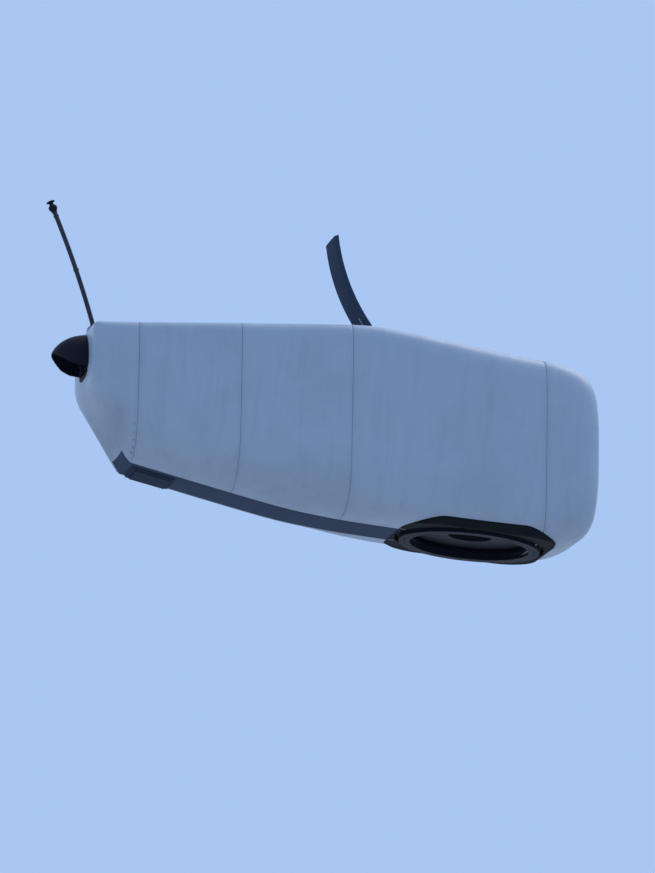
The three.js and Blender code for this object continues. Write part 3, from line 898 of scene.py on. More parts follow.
@dataclass
class Skin:
    """A panel of the housing with its outer and inner faces, row by row on one grid.

    A mark is a share of grime, and on the tail also of painted shade. Once the opening is cut, gone is -1
    inside it, 0 on its edge and 1 outside.
    """

    outer: Grid
    inner: Grid
    mark: Grid
    wrap: bool = False
    gone: Grid | None = None

    def extended(self, outer: Grid, inner: Grid, mark: Grid) -> "Skin":
        """Adds rows after the last one.

        Args:
            outer: Their outer points.
            inner: Their inner points.
            mark: Their grime.

        Returns:
            The longer panel, which wraps round.
        """
        pairs = ((self.outer, outer), (self.inner, inner), (self.mark, mark))
        return Skin(*(np.concatenate(pair) for pair in pairs), wrap=True)

    def cut_opening(self) -> None:
        """Cuts the tower opening: points of the grid next to its edge are moved onto it."""
        outside = OPENING.outside(self.outer)
        state = np.where((outside < 0.0) & (self.outer[..., 2] < OPENING.below), -1, 1)
        near = np.abs(outside)
        snap = np.zeros(state.shape, bool)
        for one, two in ((np.s_[:-1], np.s_[1:]), (np.s_[:, :-1], np.s_[:, 1:])):
            crossing = state[one] != state[two]
            closer = near[one] <= near[two]
            snap[one] |= crossing & closer
            snap[two] |= crossing & ~closer
        for face, inset in ((self.outer, 0.0), (self.inner, HULL.skin)):
            x, y = OPENING.onto_edge(face[..., 0][snap], face[..., 1][snap])
            face[snap] = xyz(x, y, HULL.height(x, y, inset, upper=False))
        state[snap] = 0
        self.gone = state

    def faces(self) -> Grid:
        """The kept faces of the grid: whole ones, and the triangles of those that the opening's edge splits.

        Returns:
            Rows of four indices; a triangle repeats its last one.
        """
        quads = grid_faces(*self.outer.shape[:2], wrap=self.wrap)
        if self.gone is None:
            return quads
        gone = self.gone.reshape(-1)
        low, high = gone[quads].min(axis=1), gone[quads].max(axis=1)
        parts = [quads[(low >= 0) & (high > 0)]]
        split = quads[(low < 0) & (high > 0)]
        for corner in range(4):
            three = np.roll(split, -corner, axis=1)[:, [0, 1, 2, 2]]
            good = (gone[three].min(axis=1) >= 0) & (gone[three[:, 1]] > 0)
            parts.append(three[good])
        return np.concatenate(parts)

    def add_to(self, piece: Piece, holes: Callable[[Grid], Grid] | None = None) -> None:
        """Adds the outer face, the inner face and the rims between them to a piece.

        A rim stands on every edge that only one face has. Points that no face uses are left out.

        Args:
            piece: The piece that takes the faces.
            holes: Tells, for the middles of faces, which are left out.
        """
        faces = self.faces()
        flat = self.outer.reshape(-1, 3)
        if holes is not None:
            faces = faces[~holes(flat[faces].mean(axis=1))]
        size = len(flat)
        edges = np.stack([faces, np.roll(faces, -1, axis=1)], axis=-1).reshape(-1, 2)
        start, end = edges[edges[:, 0] != edges[:, 1]].T
        alone = ~np.isin(start * size + end, end * size + start)
        start, end = start[alone], end[alone]
        walls = np.stack([start, end, end + size, start + size], axis=-1)
        triangle = faces[:, 2:3] == faces[:, 3:]
        flipped = np.where(triangle, faces[:, [2, 1, 0, 0]], faces[:, ::-1])
        used, packed = np.unique(np.concatenate([faces, flipped + size, walls]), return_inverse=True)
        packed = packed.reshape(-1, 4)
        triangle = packed[:, 2] == packed[:, 3]
        both = np.concatenate([flat, self.inner.reshape(-1, 3)])
        mark = np.concatenate([self.mark.reshape(-1), np.full(size, 0.25)])
        piece.add(from_drawing(both[used]), packed[~triangle], mark[used])
        piece.faces.append(packed[triangle][:, :3] + piece.count - len(used))


@dataclass
class HousingShell:
    """The moulded housing: roof, sides, belly, nose and tail, with the seams between them.

    Seams and ends are stations in the drawing frame, and each half is a distance from the centre plane.
    """

    roof_half: float = 1.0
    belly_half: float = 0.6
    belly_end: float = 0.0
    nose_seam: float = 1.0
    roof_seam: float = -2.65
    side_seams: tuple[float, float] = (-2.9, -5.08)
    side_girth: float = 4.4
    tail_seam: float = -7.08
    pitch: float = 0.07
    round_steps: int = 256
    hatch_half: float = 0.368
    hatch_ends: tuple[float, float] = (-2.398, -0.532)
    hatch_stations: tuple[float, float] = (-2.2274, -0.3712)
    shaft_hole: float = 0.86
    shaft_z: float = 1.838
    outlet: tuple[float, float, float] = (0.5, 2.3, 2.88)
    keel: float = 0.18
    keel_rise: float = 0.004
    seal_half: float = 0.02
    seal_pitch: float = 0.09
    belly_seal_end: float = -1.48
    beside: tuple[float, float] = (-0.045, 0.045)

    def build(self) -> None:
        """Makes every panel, the sealant in the seams and the screws beside them."""
        self._level("roof_front_skin", self.roof_seam, self.nose_seam, "roof_front", self._hatch_hole)
        self._level("roof_rear_skin", self.tail_seam, self.roof_seam, "roof_rear")
        for side in Side:
            name = side.name.lower()
            self._side(side, f"side_front_{name}", self.side_seams[0], self.nose_seam)
            self._side(side, f"side_middle_{name}", self.side_seams[1], self.side_seams[0])
            self._side(side, f"side_rear_{name}", self.tail_seam, self.side_seams[1])
        self._belly()
        self._nose()
        self._tail()
        self._keel_plate()
        self._seals()
        self._screws()

    def _hatch_hole(self, middles: Grid) -> Grid:
        """Tells which faces of the roof lie in the roof hatch's opening, in the drawing frame."""
        rear, front = self.hatch_ends
        return (np.abs(middles[:, 1]) < self.hatch_half) & (middles[:, 0] > rear) & (middles[:, 0] < front)

    @staticmethod
    def _grime(outer: Grid, edge: Grid | float) -> Grid:
        """Grime of a panel: a fringe that fades away from its seams, and a veil low down.

        Args:
            outer: Points of the outer face.
            edge: Each point's distance to the panel's edge.

        Returns:
            A share from 0 to 1 for each point.
        """
        veil = 0.22 * (1.0 - smoothstep(outer[..., 2], 0.2, 1.5))
        fringe = 0.25 * np.exp(-edge / 0.03) + 0.08 * np.exp(-edge / 0.25)
        return np.clip(fringe + veil, 0.0, 1.0)

    def _panel(self, stations: Grid, turns: Grid, edge: Grid) -> Skin:
        """Makes a panel from its stations and turns.

        Args:
            stations: Stations in a column.
            turns: Turns for each station.
            edge: Each point's distance to the panel's edge.

        Returns:
            The panel.
        """
        outer = HULL.points(stations, turns, rolled_edge(edge))
        return Skin(outer, HULL.points(stations, turns, HULL.skin), self._grime(outer, edge))

    @staticmethod
    def _lay(
        skin: Skin,
        name: str,
        node: str,
        finish: Finish = Finishes.GELCOAT,
        slot: str = "gelcoat",
        holes: Callable[[Grid], Grid] | None = None,
    ) -> None:
        """Makes the mesh of a panel, in place of its solid.

        Args:
            skin: The panel.
            name: The mesh's name.
            node: The node that it replaces.
            finish: Its material.
            slot: The record's material slot.
            holes: Tells, for the middles of faces, which are left out.
        """
        piece = Piece(name, Body.NACELLE)
        skin.add_to(piece, holes)
        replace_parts(piece.make(finish, slot), node)

    def _level(
        self, name: str, low: float, high: float, node: str, holes: Callable[[Grid], Grid] | None = None
    ) -> None:
        """Makes a roof panel, laid out by y, with grid lines along the roof hatch's opening.

        Args:
            name: The mesh's name.
            low: Rear seam.
            high: Front seam.
            node: The node that it replaces.
            holes: Tells, for the middles of faces, which are left out.
        """
        stations, ends = edged(low, high, self.pitch, self.hatch_stations)
        hatch = (-self.hatch_half, self.hatch_half)
        across, sides = edged(-self.roof_half, self.roof_half, self.pitch, hatch)
        turns = HULL.turn_at(stations[:, None], across, upper=True)
        skin = self._panel(stations[:, None], turns, np.minimum(ends[:, None], sides))
        self._lay(skin, name, node, holes=holes)

    def _belly(self) -> None:
        """Makes the belly pan, dark with painted shade of the underside, laid out by y, with the tower
        opening cut out of its front end.
        """
        stations, ends = edged(self.tail_seam, self.belly_end, self.pitch)
        across, sides = edged(-self.belly_half, self.belly_half, self.pitch)
        turns = HULL.turn_at(stations[:, None], across, upper=False)
        skin = self._panel(stations[:, None], turns, np.minimum(ends[:, None], sides))
        skin.cut_opening()
        self._lay(skin, "belly_skin", "belly_pan", Finishes.BELLY, "belly_grey")

    def _side(self, side: Side, node: str, low: float, high: float) -> None:
        """Makes a side panel, from the belly's seam round to the roof's seam.

        Args:
            side: Left or right.
            node: The node that it replaces.
            low: Rear seam.
            high: Front seam.
        """
        stations, ends = edged(low, high, self.pitch)
        column = stations[:, None]
        bottom = HULL.turn_at(column, self.belly_half + SEAM_GAP + EDGE_STEPS, upper=False)
        top = HULL.turn_at(column, self.roof_half + SEAM_GAP + EDGE_STEPS, upper=True)
        share = np.linspace(0.0, 1.0, 96)[1:-1]
        between = bottom[:, -1:] + (top[:, -1:] - bottom[:, -1:]) * share
        turns = np.concatenate([bottom, between, top[:, ::-1]], axis=1)
        middle = EDGE_STEPS[-1] + self.side_girth * np.minimum(share, 1.0 - share)
        reach = np.concatenate([EDGE_STEPS, middle, EDGE_STEPS[::-1]])
        skin = self._panel(column, turns, np.minimum(ends[:, None], reach))
        for face in (skin.outer, skin.inner):
            face[..., 1] *= side.value
        skin.cut_opening()
        self._lay(skin, f"{node}_skin", node)

    def _nose(self) -> None:
        """Makes the nose: sections to the front face, its flat ring, and the rolled edge of the hole."""
        near = self.nose_seam + SEAM_GAP
        run = np.linspace(0.0, 1.0, 26)[1:]
        way = (HULL.nose - near - EDGE_STEPS[-1]) * (1.0 - (1.0 - run) ** 2)
        stations = np.append(near + EDGE_STEPS, near + EDGE_STEPS[-1] + way)
        skin = self._panel(stations[:, None], full_turn(self.round_steps), (stations - near)[:, None])
        rolled = [(0.18, 0.0), (0.09, 0.0), (0.03, 0.0), (0.015, 0.004), (0.003, 0.016), (0.0, 0.03)]
        behind = [(outside, HULL.skin) for outside in (0.18, 0.09, 0.03, 0.015, 0.01)]
        outer = self._face_rings(self._way(skin.outer[-1]), rolled)
        inner = self._face_rings(self._way(skin.inner[-1]), [*behind, (0.002, 0.055)])
        skin = skin.extended(outer, inner, self._grime(outer, 1.2))
        skin.cut_opening()
        self._lay(skin, "nose_skin", "nose_shell")
        self._shaft_seal()

    def _way(self, points: Grid) -> Grid:
        """Directions of points from the middle of the shaft's hole, in radians."""
        return np.arctan2(points[:, 2] - self.shaft_z, points[:, 1])

    def _face_rings(self, way: Grid, steps: Sequence[tuple[float, float]]) -> Grid:
        """Circles round the shaft's hole, on the leaning front face or behind it.

        Args:
            way: Directions from the middle of the hole.
            steps: For each circle, how far it lies outside the hole's edge, and how far behind the face.

        Returns:
            Points in the drawing frame, circle by direction.
        """
        outside, depth = np.array(steps).T[..., None]
        radius = self.shaft_hole + outside
        return HULL.placed(HULL.nose - depth, radius * np.cos(way), self.shaft_z + radius * np.sin(way))

    def _shaft_seal(self) -> None:
        """Makes the black brush seal between the nose and the rotor flange."""
        section = [
            (-0.002, 0.034), (-0.01, 0.03), (-0.08, 0.036), (-0.085, 0.042), (-0.08, 0.048), (-0.002, 0.054),
        ]
        piece = Piece("shaft_seal", Body.NACELLE)
        piece.grid(from_drawing(self._face_rings(full_turn(192), section)), wrap=True, loop=True, mark=0.3)
        piece.make(Finishes.RUBBER, "rubber")

    def _tail(self) -> None:
        """Makes the tail: sections to the rear face, rounded into it, and the outlet's rectangular opening.

        Painted shade darkens it low down, away from its seam, on the lower rear face that lies in shade.
        """
        near = self.tail_seam - SEAM_GAP
        back = HULL.tail + HULL.tail_edge
        bend = np.linspace(0.0, math.pi / 2.0, 8)[1:]
        body = np.linspace(near - EDGE_STEPS[-1], back, 9)[1:]
        stations = np.concatenate([near - EDGE_STEPS, body, back - HULL.tail_edge * np.sin(bend)])
        skin = self._panel(stations[:, None], full_turn(self.round_steps), (near - stations)[:, None])
        shares = np.array([0.35, 0.7, 1.0])
        outer = self._to_outlet(skin.outer[-1], 0.0, shares)
        inner = self._to_outlet(skin.inner[-1], HULL.skin, shares)
        skin = skin.extended(outer, inner, self._grime(outer, 0.7))
        behind = np.append(self.tail_seam - stations, np.ones(len(shares)))[:, None]
        # painted shade on the tail's lower rear face, carried into the grime attribute
        tail_shade = smoothstep(behind, 0.02, 0.4) * (1.0 - smoothstep(skin.outer[..., 2], 0.5, 2.3))
        skin.mark = np.clip(skin.mark + tail_shade, 0.0, 1.0)
        self._lay(skin, "tail_skin", "tail_shell")

    def _to_outlet(self, last: Grid, depth: float, shares: Grid) -> Grid:
        """Rows of the rear face, from its rounded edge straight in to the outlet's rectangle.

        Args:
            last: The edge's points.
            depth: How far the rows lie ahead of the rear face.
            shares: Each row's share of the way, 1 on the rectangle.

        Returns:
            Points in the drawing frame, row by row.
        """
        half, low, high = self.outlet
        middle = np.array([0.0, (low + high) / 2.0])
        away = last[:, 1:] - middle
        corner = middle + away / np.max(np.abs(away) / [half, (high - low) / 2.0], axis=1, keepdims=True)
        spots = last[:, 1:] + (corner - last[:, 1:]) * shares[:, None, None]
        return HULL.placed(HULL.tail + depth, spots[..., 0], spots[..., 1])

    def _keel_plate(self) -> None:
        """Lays a strip of the belly's painted shade on round the tail's lower corner, 4 mm proud of the tail.
        """
        piece = Piece("tail_keel_shade_plate", Body.NACELLE)
        column = np.linspace(self.tail_seam - self.keel, self.tail_seam - SEAM_GAP, 24)[:, None]
        across = np.linspace(-self.belly_half, self.belly_half, 31)
        turns = HULL.turn_at(column, across, upper=False)
        ends = np.minimum(column - column[0], self.belly_half - np.abs(across))
        outer = HULL.points(column, turns, 0.5 * rolled_edge(ends) - self.keel_rise)
        inner = HULL.points(column, turns, self.keel_rise)
        Skin(outer, inner, np.full(turns.shape, 0.2)).add_to(piece)
        piece.make(Finishes.BELLY, "belly_grey")

    def _seals(self) -> None:
        """Makes the sealant strips that lie in the seams, 5 mm under the outer face."""
        piece = Piece("housing_seals", Body.NACELLE)
        wide = np.array([-self.seal_half, self.seal_half])
        for seam in (self.nose_seam, self.tail_seam):
            self._strip(piece, seam + wide[:, None], full_turn(self.round_steps), wrap=True)
        rear = self.tail_seam + self.seal_half
        edges = ((self.roof_half, True, self.nose_seam), (self.belly_half, False, self.belly_seal_end))
        for side in Side:
            for y, upper, front in edges:
                column = np.arange(rear, front - self.seal_half, self.seal_pitch)[:, None]
                self._strip(piece, column, HULL.turn_at(column, (y + wide) * side.value, upper))
            for seam in self.side_seams:
                column = seam + wide[:, None]
                top = HULL.turn_at(column, self.roof_half + self.seal_half, upper=True)
                bottom = HULL.turn_at(column, self.belly_half + self.seal_half, upper=False)
                turns = bottom + (top - bottom) * np.linspace(0.0, 1.0, 90)
                self._strip(piece, column, turns if side is Side.LEFT else math.pi - turns)
        column = self.roof_seam + wide[:, None]
        half = self.roof_half - self.seal_half
        self._strip(piece, column, HULL.turn_at(column, np.linspace(-half, half, 40), upper=True))
        piece.make(Finishes.SEALANT, "rubber")

    @staticmethod
    def _strip(piece: Piece, column: Grid, turns: Grid, wrap: bool = False) -> None:
        """Adds one closed strip between 5 and 16 mm under the outer face.

        Args:
            piece: The piece that takes it.
            column: Stations in a column.
            turns: Turns for each station.
            wrap: Whether it goes right round the housing.
        """
        outer, inner = (HULL.points(column, turns, depth) for depth in (0.005, 0.016))
        Skin(outer, inner, np.full(outer.shape[:2], 0.2), wrap=wrap).add_to(piece)

    def _screws(self) -> None:
        """Sets dome-headed screws in rows beside the roof's seams and round the nose and tail seams.

        Screws that would hang in the tower opening are left out.
        """
        piece = Piece("housing_screws", Body.NACELLE)
        profile = [(0.0, 0.017), (0.004, 0.017), (0.008, 0.013), (0.0105, 0.007), (0.0112, POLE)]
        dome = revolved(profile, full_turn(12))
        beside = np.array(self.beside)
        column = np.arange(self.tail_seam + 0.12, self.nose_seam - 0.08, 0.24)
        across = np.concatenate([beside - self.roof_half, beside + self.roof_half])
        rows = [(column, HULL.turn_at(column, y, upper=True)) for y in across]
        turns = np.arange(-0.9, math.pi + 0.9, 0.105)
        seams = np.concatenate([self.nose_seam + beside, self.tail_seam + beside])
        rows += [(np.full(turns.shape, seam), turns) for seam in seams]
        for stations, turns in rows:
            spots = HULL.points(stations, turns, 0.0)
            kept = (OPENING.outside(spots) > 0.06) | (spots[:, 2] > OPENING.below)
            stations, turns, centres = stations[kept], turns[kept], spots[kept]
            ahead = HULL.points(stations + 0.01, turns, 0.0) - centres
            round_way = HULL.points(stations, turns + 0.005, 0.0) - centres
            piece.copies(dome, from_drawing(centres), np.cross(ahead, round_way))
        piece.make(Finishes.ZINC, "galvanised")


@dataclass
class RoofHatch:
    """The roof hatch: a coaming on the roof and an arched lid that turns about a pin.

    Its own frame has the pin at its origin and X along the slope of the roof to the front.
    """

    pin: tuple[float, float, float] = (-2.45, 0.0, 3.95)
    slope: float = 0.048
    roof_drop: float = 0.095
    length: float = 2.05
    half: float = 0.43
    heel: float = 0.026
    crown: float = 0.14
    plate: float = 0.045
    flange: float = 0.05
    opened: float = math.radians(120.0)
    opening: tuple[float, float, float] = (0.07, 1.9, 0.35)
    wall: float = 0.036
    ribs: tuple[float, ...] = (0.42, 0.86, 1.3, 1.72)
    strap_y: float = 0.26
    handle_x: float = 1.5

    def build(self) -> None:
        """Makes the coaming with its seal, and the lid with its ribs, straps and handle."""
        self._coaming()
        self._lid()
        self._straps()
        self._handle()

    def _arch(self, x: Grid | float) -> Grid | float:
        """Height of the lid's underside over the pin: a parabola that starts 20 mm under it."""
        share = x / self.length
        return -0.02 + 4.0 * self.crown * share * (1.0 - share)

    def _rim(self, x: Grid) -> Grid:
        """Height of the coaming's rim, 16 mm under the lid's underside."""
        return self._arch(np.clip(x, 0.03, 1.94)) - 0.016

    def _shut(self, points: Grid) -> Grid:
        """Places points of the hatch's own frame as on a shut hatch."""
        return from_drawing(turned_about_y(points, self.slope) + np.array(self.pin))

    def _open(self, points: Grid) -> Grid:
        """Places points of the hatch's own frame as on the opened lid."""
        return from_drawing(turned_about_y(points, self.slope - self.opened) + np.array(self.pin))

    def _plan(self) -> tuple[Grid, Grid]:
        """The coaming's inner outline in plan, with rounded corners, and its outward directions.

        Returns:
            Plan points, and a unit normal for each.
        """
        x0, x1, half = self.opening
        plan = subdivided(rounded_box(x1 - x0, 2.0 * half, 0.03, 5), 0.06)
        step = np.roll(plan, -1, axis=0) - np.roll(plan, 1, axis=0)
        normals = np.stack([step[:, 1], -step[:, 0]], axis=-1)
        normals /= np.linalg.norm(normals, axis=1, keepdims=True)
        return plan + np.array([(x0 + x1) / 2.0, 0.0]), normals

    def _roof_under(self, x: Grid, y: Grid) -> Grid:
        """Height of the roof in the hatch's own frame, found where the roof's drop under the pin puts it.

        Args:
            x: Positions along the hatch.
            y: Positions across it.

        Returns:
            The heights.
        """
        c, s = math.cos(self.slope), math.sin(self.slope)
        along = self.pin[0] + x * c - self.roof_drop * s
        return (HULL.height(along, y, 0.0, upper=True) - self.pin[2]) * c + (along - self.pin[0]) * s

    def _coaming(self) -> None:
        """Carries sections round the plan: the coaming's foot, wall, rim and way down, and the rim's seal.

        A row of a section holds how far it lies outside the opening, its rise over the roof or over the rim,
        and 1 where the rim is meant.
        """
        wall = self.wall
        section = [
            (0.085, 0.002, 0), (0.083, 0.008, 0), (0.046, 0.010, 0), (0.038, 0.016, 0), (wall, 0.028, 0),
            (wall, -0.006, 1), (0.032, 0.0, 1), (0.004, 0.0, 1), (0.0, -0.006, 1), (0.0, -0.16, 0),
            (0.03, -0.16, 0), (0.034, -0.02, 0),
        ]
        piece = Piece("hatch_coaming_wall", Body.NACELLE)
        piece.grid(self._round_plan(section), wrap=True, loop=True, mark=0.15)
        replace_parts(piece.make(Finishes.GELCOAT, "gelcoat"), "hatch_coaming")
        section = [
            (0.028, -0.001, 1), (0.026, 0.006, 1), (0.018, 0.009, 1), (0.01, 0.006, 1), (0.008, -0.001, 1),
        ]
        seal = Piece("hatch_seal", Body.NACELLE)
        seal.grid(self._round_plan(section), wrap=True, loop=True, mark=0.1)
        seal.make(Finishes.RUBBER, "rubber")

    def _round_plan(self, section: Sequence[tuple[float, float, int]]) -> Grid:
        """Carries a section round the coaming's plan.

        Args:
            section: Rows of the distance outside the opening, the rise, and 1 for over the rim or 0 for over
                the roof.

        Returns:
            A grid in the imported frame, section by plan.
        """
        plan, normal = self._plan()
        out, rise, on_rim = np.array(section, float).T[..., None]
        spots = plan + normal * out[..., None]
        x, y = spots[..., 0], spots[..., 1]
        return self._shut(xyz(x, y, np.where(on_rim > 0.5, self._rim(x), self._roof_under(x, y)) + rise))

    def _lid(self) -> None:
        """Makes the lid: a shallow channel section carried along the arch, with its end lip and its ribs."""
        piece = Piece("roof_hatch_lid", Body.HATCH)
        piece.tube(self._open(self._channel()))
        bar = rounded_box(0.028, 0.075, 0.008)
        across = np.linspace(-self.half + 0.006, self.half - 0.006, 12)[:, None]
        piece.tube(self._open(xyz(self.length - 0.014 + bar[:, 0], across, -0.0325 + bar[:, 1])))
        hump = rounded_box(0.06, 0.05, 0.016)
        across = np.linspace(-0.335, 0.335, 10)[:, None]
        for at in self.ribs:
            piece.tube(self._open(xyz(at + hump[:, 0], across, self._arch(at) + hump[:, 1])))
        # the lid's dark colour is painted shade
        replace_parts(piece.make(Finishes.LID_SHADE, "gelcoat"), "roof_hatch")

    def _channel(self) -> Grid:
        """The lid's channel: a cambered top with rounded edges, and side flanges that grow from the heel.

        Both its ends are tucked in by a quarter circle.

        Returns:
            A grid in the hatch's own frame, length by section.
        """
        near, far = [self.heel, 0.03, 0.04], [self.length - 0.004, self.length]
        x = np.concatenate([near, np.linspace(0.06, self.length - 0.012, 60), far])[:, None]
        tuck = 0.008 * quarter_circle(1.0 - np.minimum(x - self.heel, self.length - x) / 0.012)
        depth = self.flange * smoothstep(x, 0.05, 0.13)
        h, t, r = self.half, self.plate, 0.014
        across = np.linspace(-1.0, 1.0, 25)
        bend = np.linspace(0.0, math.pi / 2.0, 5)
        top = np.stack([across * (h - r), t + 0.007 * (1.0 - across**2)], axis=-1)
        edge = np.stack([h - r + r * np.sin(bend), t - r + r * np.cos(bend)], axis=-1)
        foot = np.array([[h, 0.0], [h - 0.004, -0.002], [h - 0.024, -0.002], [h - 0.028, 0.0]])
        under = np.stack([across[::-1] * (h - 0.032), 0.0 * across], axis=-1)
        mirror = np.array([-1.0, 1.0])
        parts = [top, edge[1:], foot, under, foot[::-1] * mirror, edge[:0:-1] * mirror]
        hangs = np.repeat([0.0, 0.0, 1.0, 0.0, 1.0, 0.0], [len(part) for part in parts])
        y, z = np.concatenate(parts).T
        shrunk = np.where(z > 0.0, z - tuck * np.sign(z - t / 2.0), z)
        return xyz(x, y * (1.0 - tuck), shrunk - depth * hangs + self._arch(x))

    def _straps(self) -> None:
        """Makes the two hinge straps: an eye round the pin that runs out over the lid, with three screws."""
        piece = Piece("hatch_straps", Body.HATCH)
        turn = np.linspace(math.radians(100.0), math.radians(330.0), 14)
        eye = 0.021 * np.stack([np.cos(turn), np.sin(turn)], axis=-1)
        run = np.linspace(0.03, 0.36, 12)
        top = np.stack([run, self._arch(run) + self.plate + 0.014], axis=-1)
        low = np.stack([run, self._arch(run) + self.plate - 0.004], axis=-1)
        low[0] = (0.028, -0.012)
        outline = np.concatenate([eye, low, top[::-1], np.array([[0.012, 0.036]])])
        middle = outline.mean(axis=0)
        offset = np.array([-0.024, -0.021, 0.021, 0.024])[:, None]
        scale = np.array([0.985, 1.0, 1.0, 0.985])[:, None, None]
        spots = middle + (outline - middle) * scale
        for y in (-self.strap_y, self.strap_y):
            piece.tube(self._open(xyz(spots[..., 0], y + offset, spots[..., 1])))
        dome = revolved([(0.0, 0.016), (0.007, 0.016), (0.012, 0.012), (0.013, POLE)], full_turn(6))
        x, y = np.tile([0.14, 0.23, 0.32], 2), np.repeat([-self.strap_y, self.strap_y], 3)
        up = self._open(Z_AXIS) - self._open(0.0 * Z_AXIS)
        piece.copies(dome, self._open(xyz(x, y, self._arch(x) + self.plate + 0.012)), up)
        piece.make(Finishes.ZINC, "galvanised")

    def _handle(self) -> None:
        """Makes the grab handle on the lid's underside, a bent round bar."""
        piece = Piece("hatch_handle", Body.HATCH)
        turn = np.linspace(0.0, math.pi, 25)
        drop = 0.052 * np.minimum(1.0, 1.7 * np.sin(turn))
        path = xyz(self.handle_x, -0.16 * np.cos(turn), self._arch(self.handle_x) + 0.004 - drop)
        piece.tube(self._open(swept(path, 0.009, 12)))
        piece.make(Finishes.ZINC, "galvanised")


@dataclass
class OutletHood:
    """The hood over the air outlet, open at its foot, near black with painted shade."""

    centre_z: float = 2.55
    reach: float = 0.74
    half: float = 0.62
    height: float = 0.57
    wall: float = 0.035
    tip: float = 0.95
    outlet_z: float = 2.59
    outlet_half: tuple[float, float] = (0.5, 0.29)

    def build(self) -> None:
        """Makes the hood's shell, its bead along the mouth, its flange and the louvre's surround."""
        outer, inner = self._shell(0.0), self._shell(self.wall)
        piece = Piece("outlet_hood_shell", Body.NACELLE)
        Skin(outer, inner, np.full(outer.shape[:2], 0.1)).add_to(piece)
        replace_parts(piece.make(Finishes.DARK, "dark_plastic"), "outlet_hood")
        bead = Piece("outlet_hood_bead", Body.NACELLE)
        middle = (outer + inner) / 2.0
        for column in (0, -1):
            bead.tube(from_drawing(swept(middle[:-2, column], 0.021, 10)))
        turn = np.linspace(-0.2, math.pi + 0.2, 90)
        y, z = (self.half + 0.01) * np.cos(turn), self.centre_z + (self.height - 0.012) * np.sin(turn)
        bead.tube(from_drawing(swept(HULL.placed(HULL.tail - 0.006, y, z), 0.016, 8)))
        bead.make(Finishes.DARK, "dark_plastic")
        self._surround()

    @staticmethod
    def _radius(t: Grid) -> Grid:
        """The blunt form's share of its width from its base (t 0) to its tip (t 1): (1 - t^2.1)^0.55."""
        return np.maximum(0.0, 1.0 - t**2.1) ** 0.55

    @staticmethod
    def _mouth(x: Grid) -> Grid:
        """Height of the mouth: a line that falls steeply from the tip, then runs on level to the tail."""
        return np.interp(x, [-9.6, -8.38, -8.2, -7.7], [3.33, 2.48, 2.43, 2.43])

    def _shell(self, shrink: float) -> Grid:
        """Points of the hood, from base to tip and from rim to rim: ellipses that the mouth cuts off below.

        Args:
            shrink: How far the face lies inside the outer one.

        Returns:
            A grid in the drawing frame.
        """
        half, height = self.half - shrink, self.height - shrink
        t = self.tip * (1.0 - np.linspace(1.0, 0.0, 60) ** 1.4)[:, None]
        x = HULL.tail - (self.reach - shrink) * t
        radius = self._radius(t)
        start = np.arcsin(np.clip((self._mouth(x) - self.centre_z) / (height * radius), -1.0, 1.0))
        turn = start + (math.pi - 2.0 * start) * np.linspace(0.0, 1.0, 64)
        z = self.centre_z + height * radius * np.sin(turn)
        return xyz(x - (z - HULL.lean_z) * HULL.lean * (1.0 - t) ** 6, half * radius * np.cos(turn), z)

    def _surround(self) -> None:
        """Makes the dark plate round the louvre, painted shade under the hood: a superellipse outside, the
        outlet's rectangle inside.
        """
        piece = Piece("outlet_shade_surround", Body.NACELLE)
        way = full_turn(144)
        c, s = np.cos(way), np.sin(way)
        power = 3.2
        rise = np.where(s >= 0.0, 0.4, 0.36)
        outer = (np.abs(c / 0.575) ** power + np.abs(s / rise) ** power) ** (-1.0 / power)
        inner = 0.998 / np.maximum(np.abs(c) / self.outlet_half[0], np.abs(s) / self.outlet_half[1])
        radius = np.stack([inner, inner, outer - 0.004, outer, outer])
        depth = np.array([0.003, -0.006, -0.006, -0.003, 0.003])[:, None]
        rows = HULL.placed(HULL.tail + depth, radius * c, self.outlet_z + radius * s)
        piece.grid(from_drawing(rows), wrap=True, loop=True, mark=0.2)
        piece.make(Finishes.DARK, "dark_plastic")


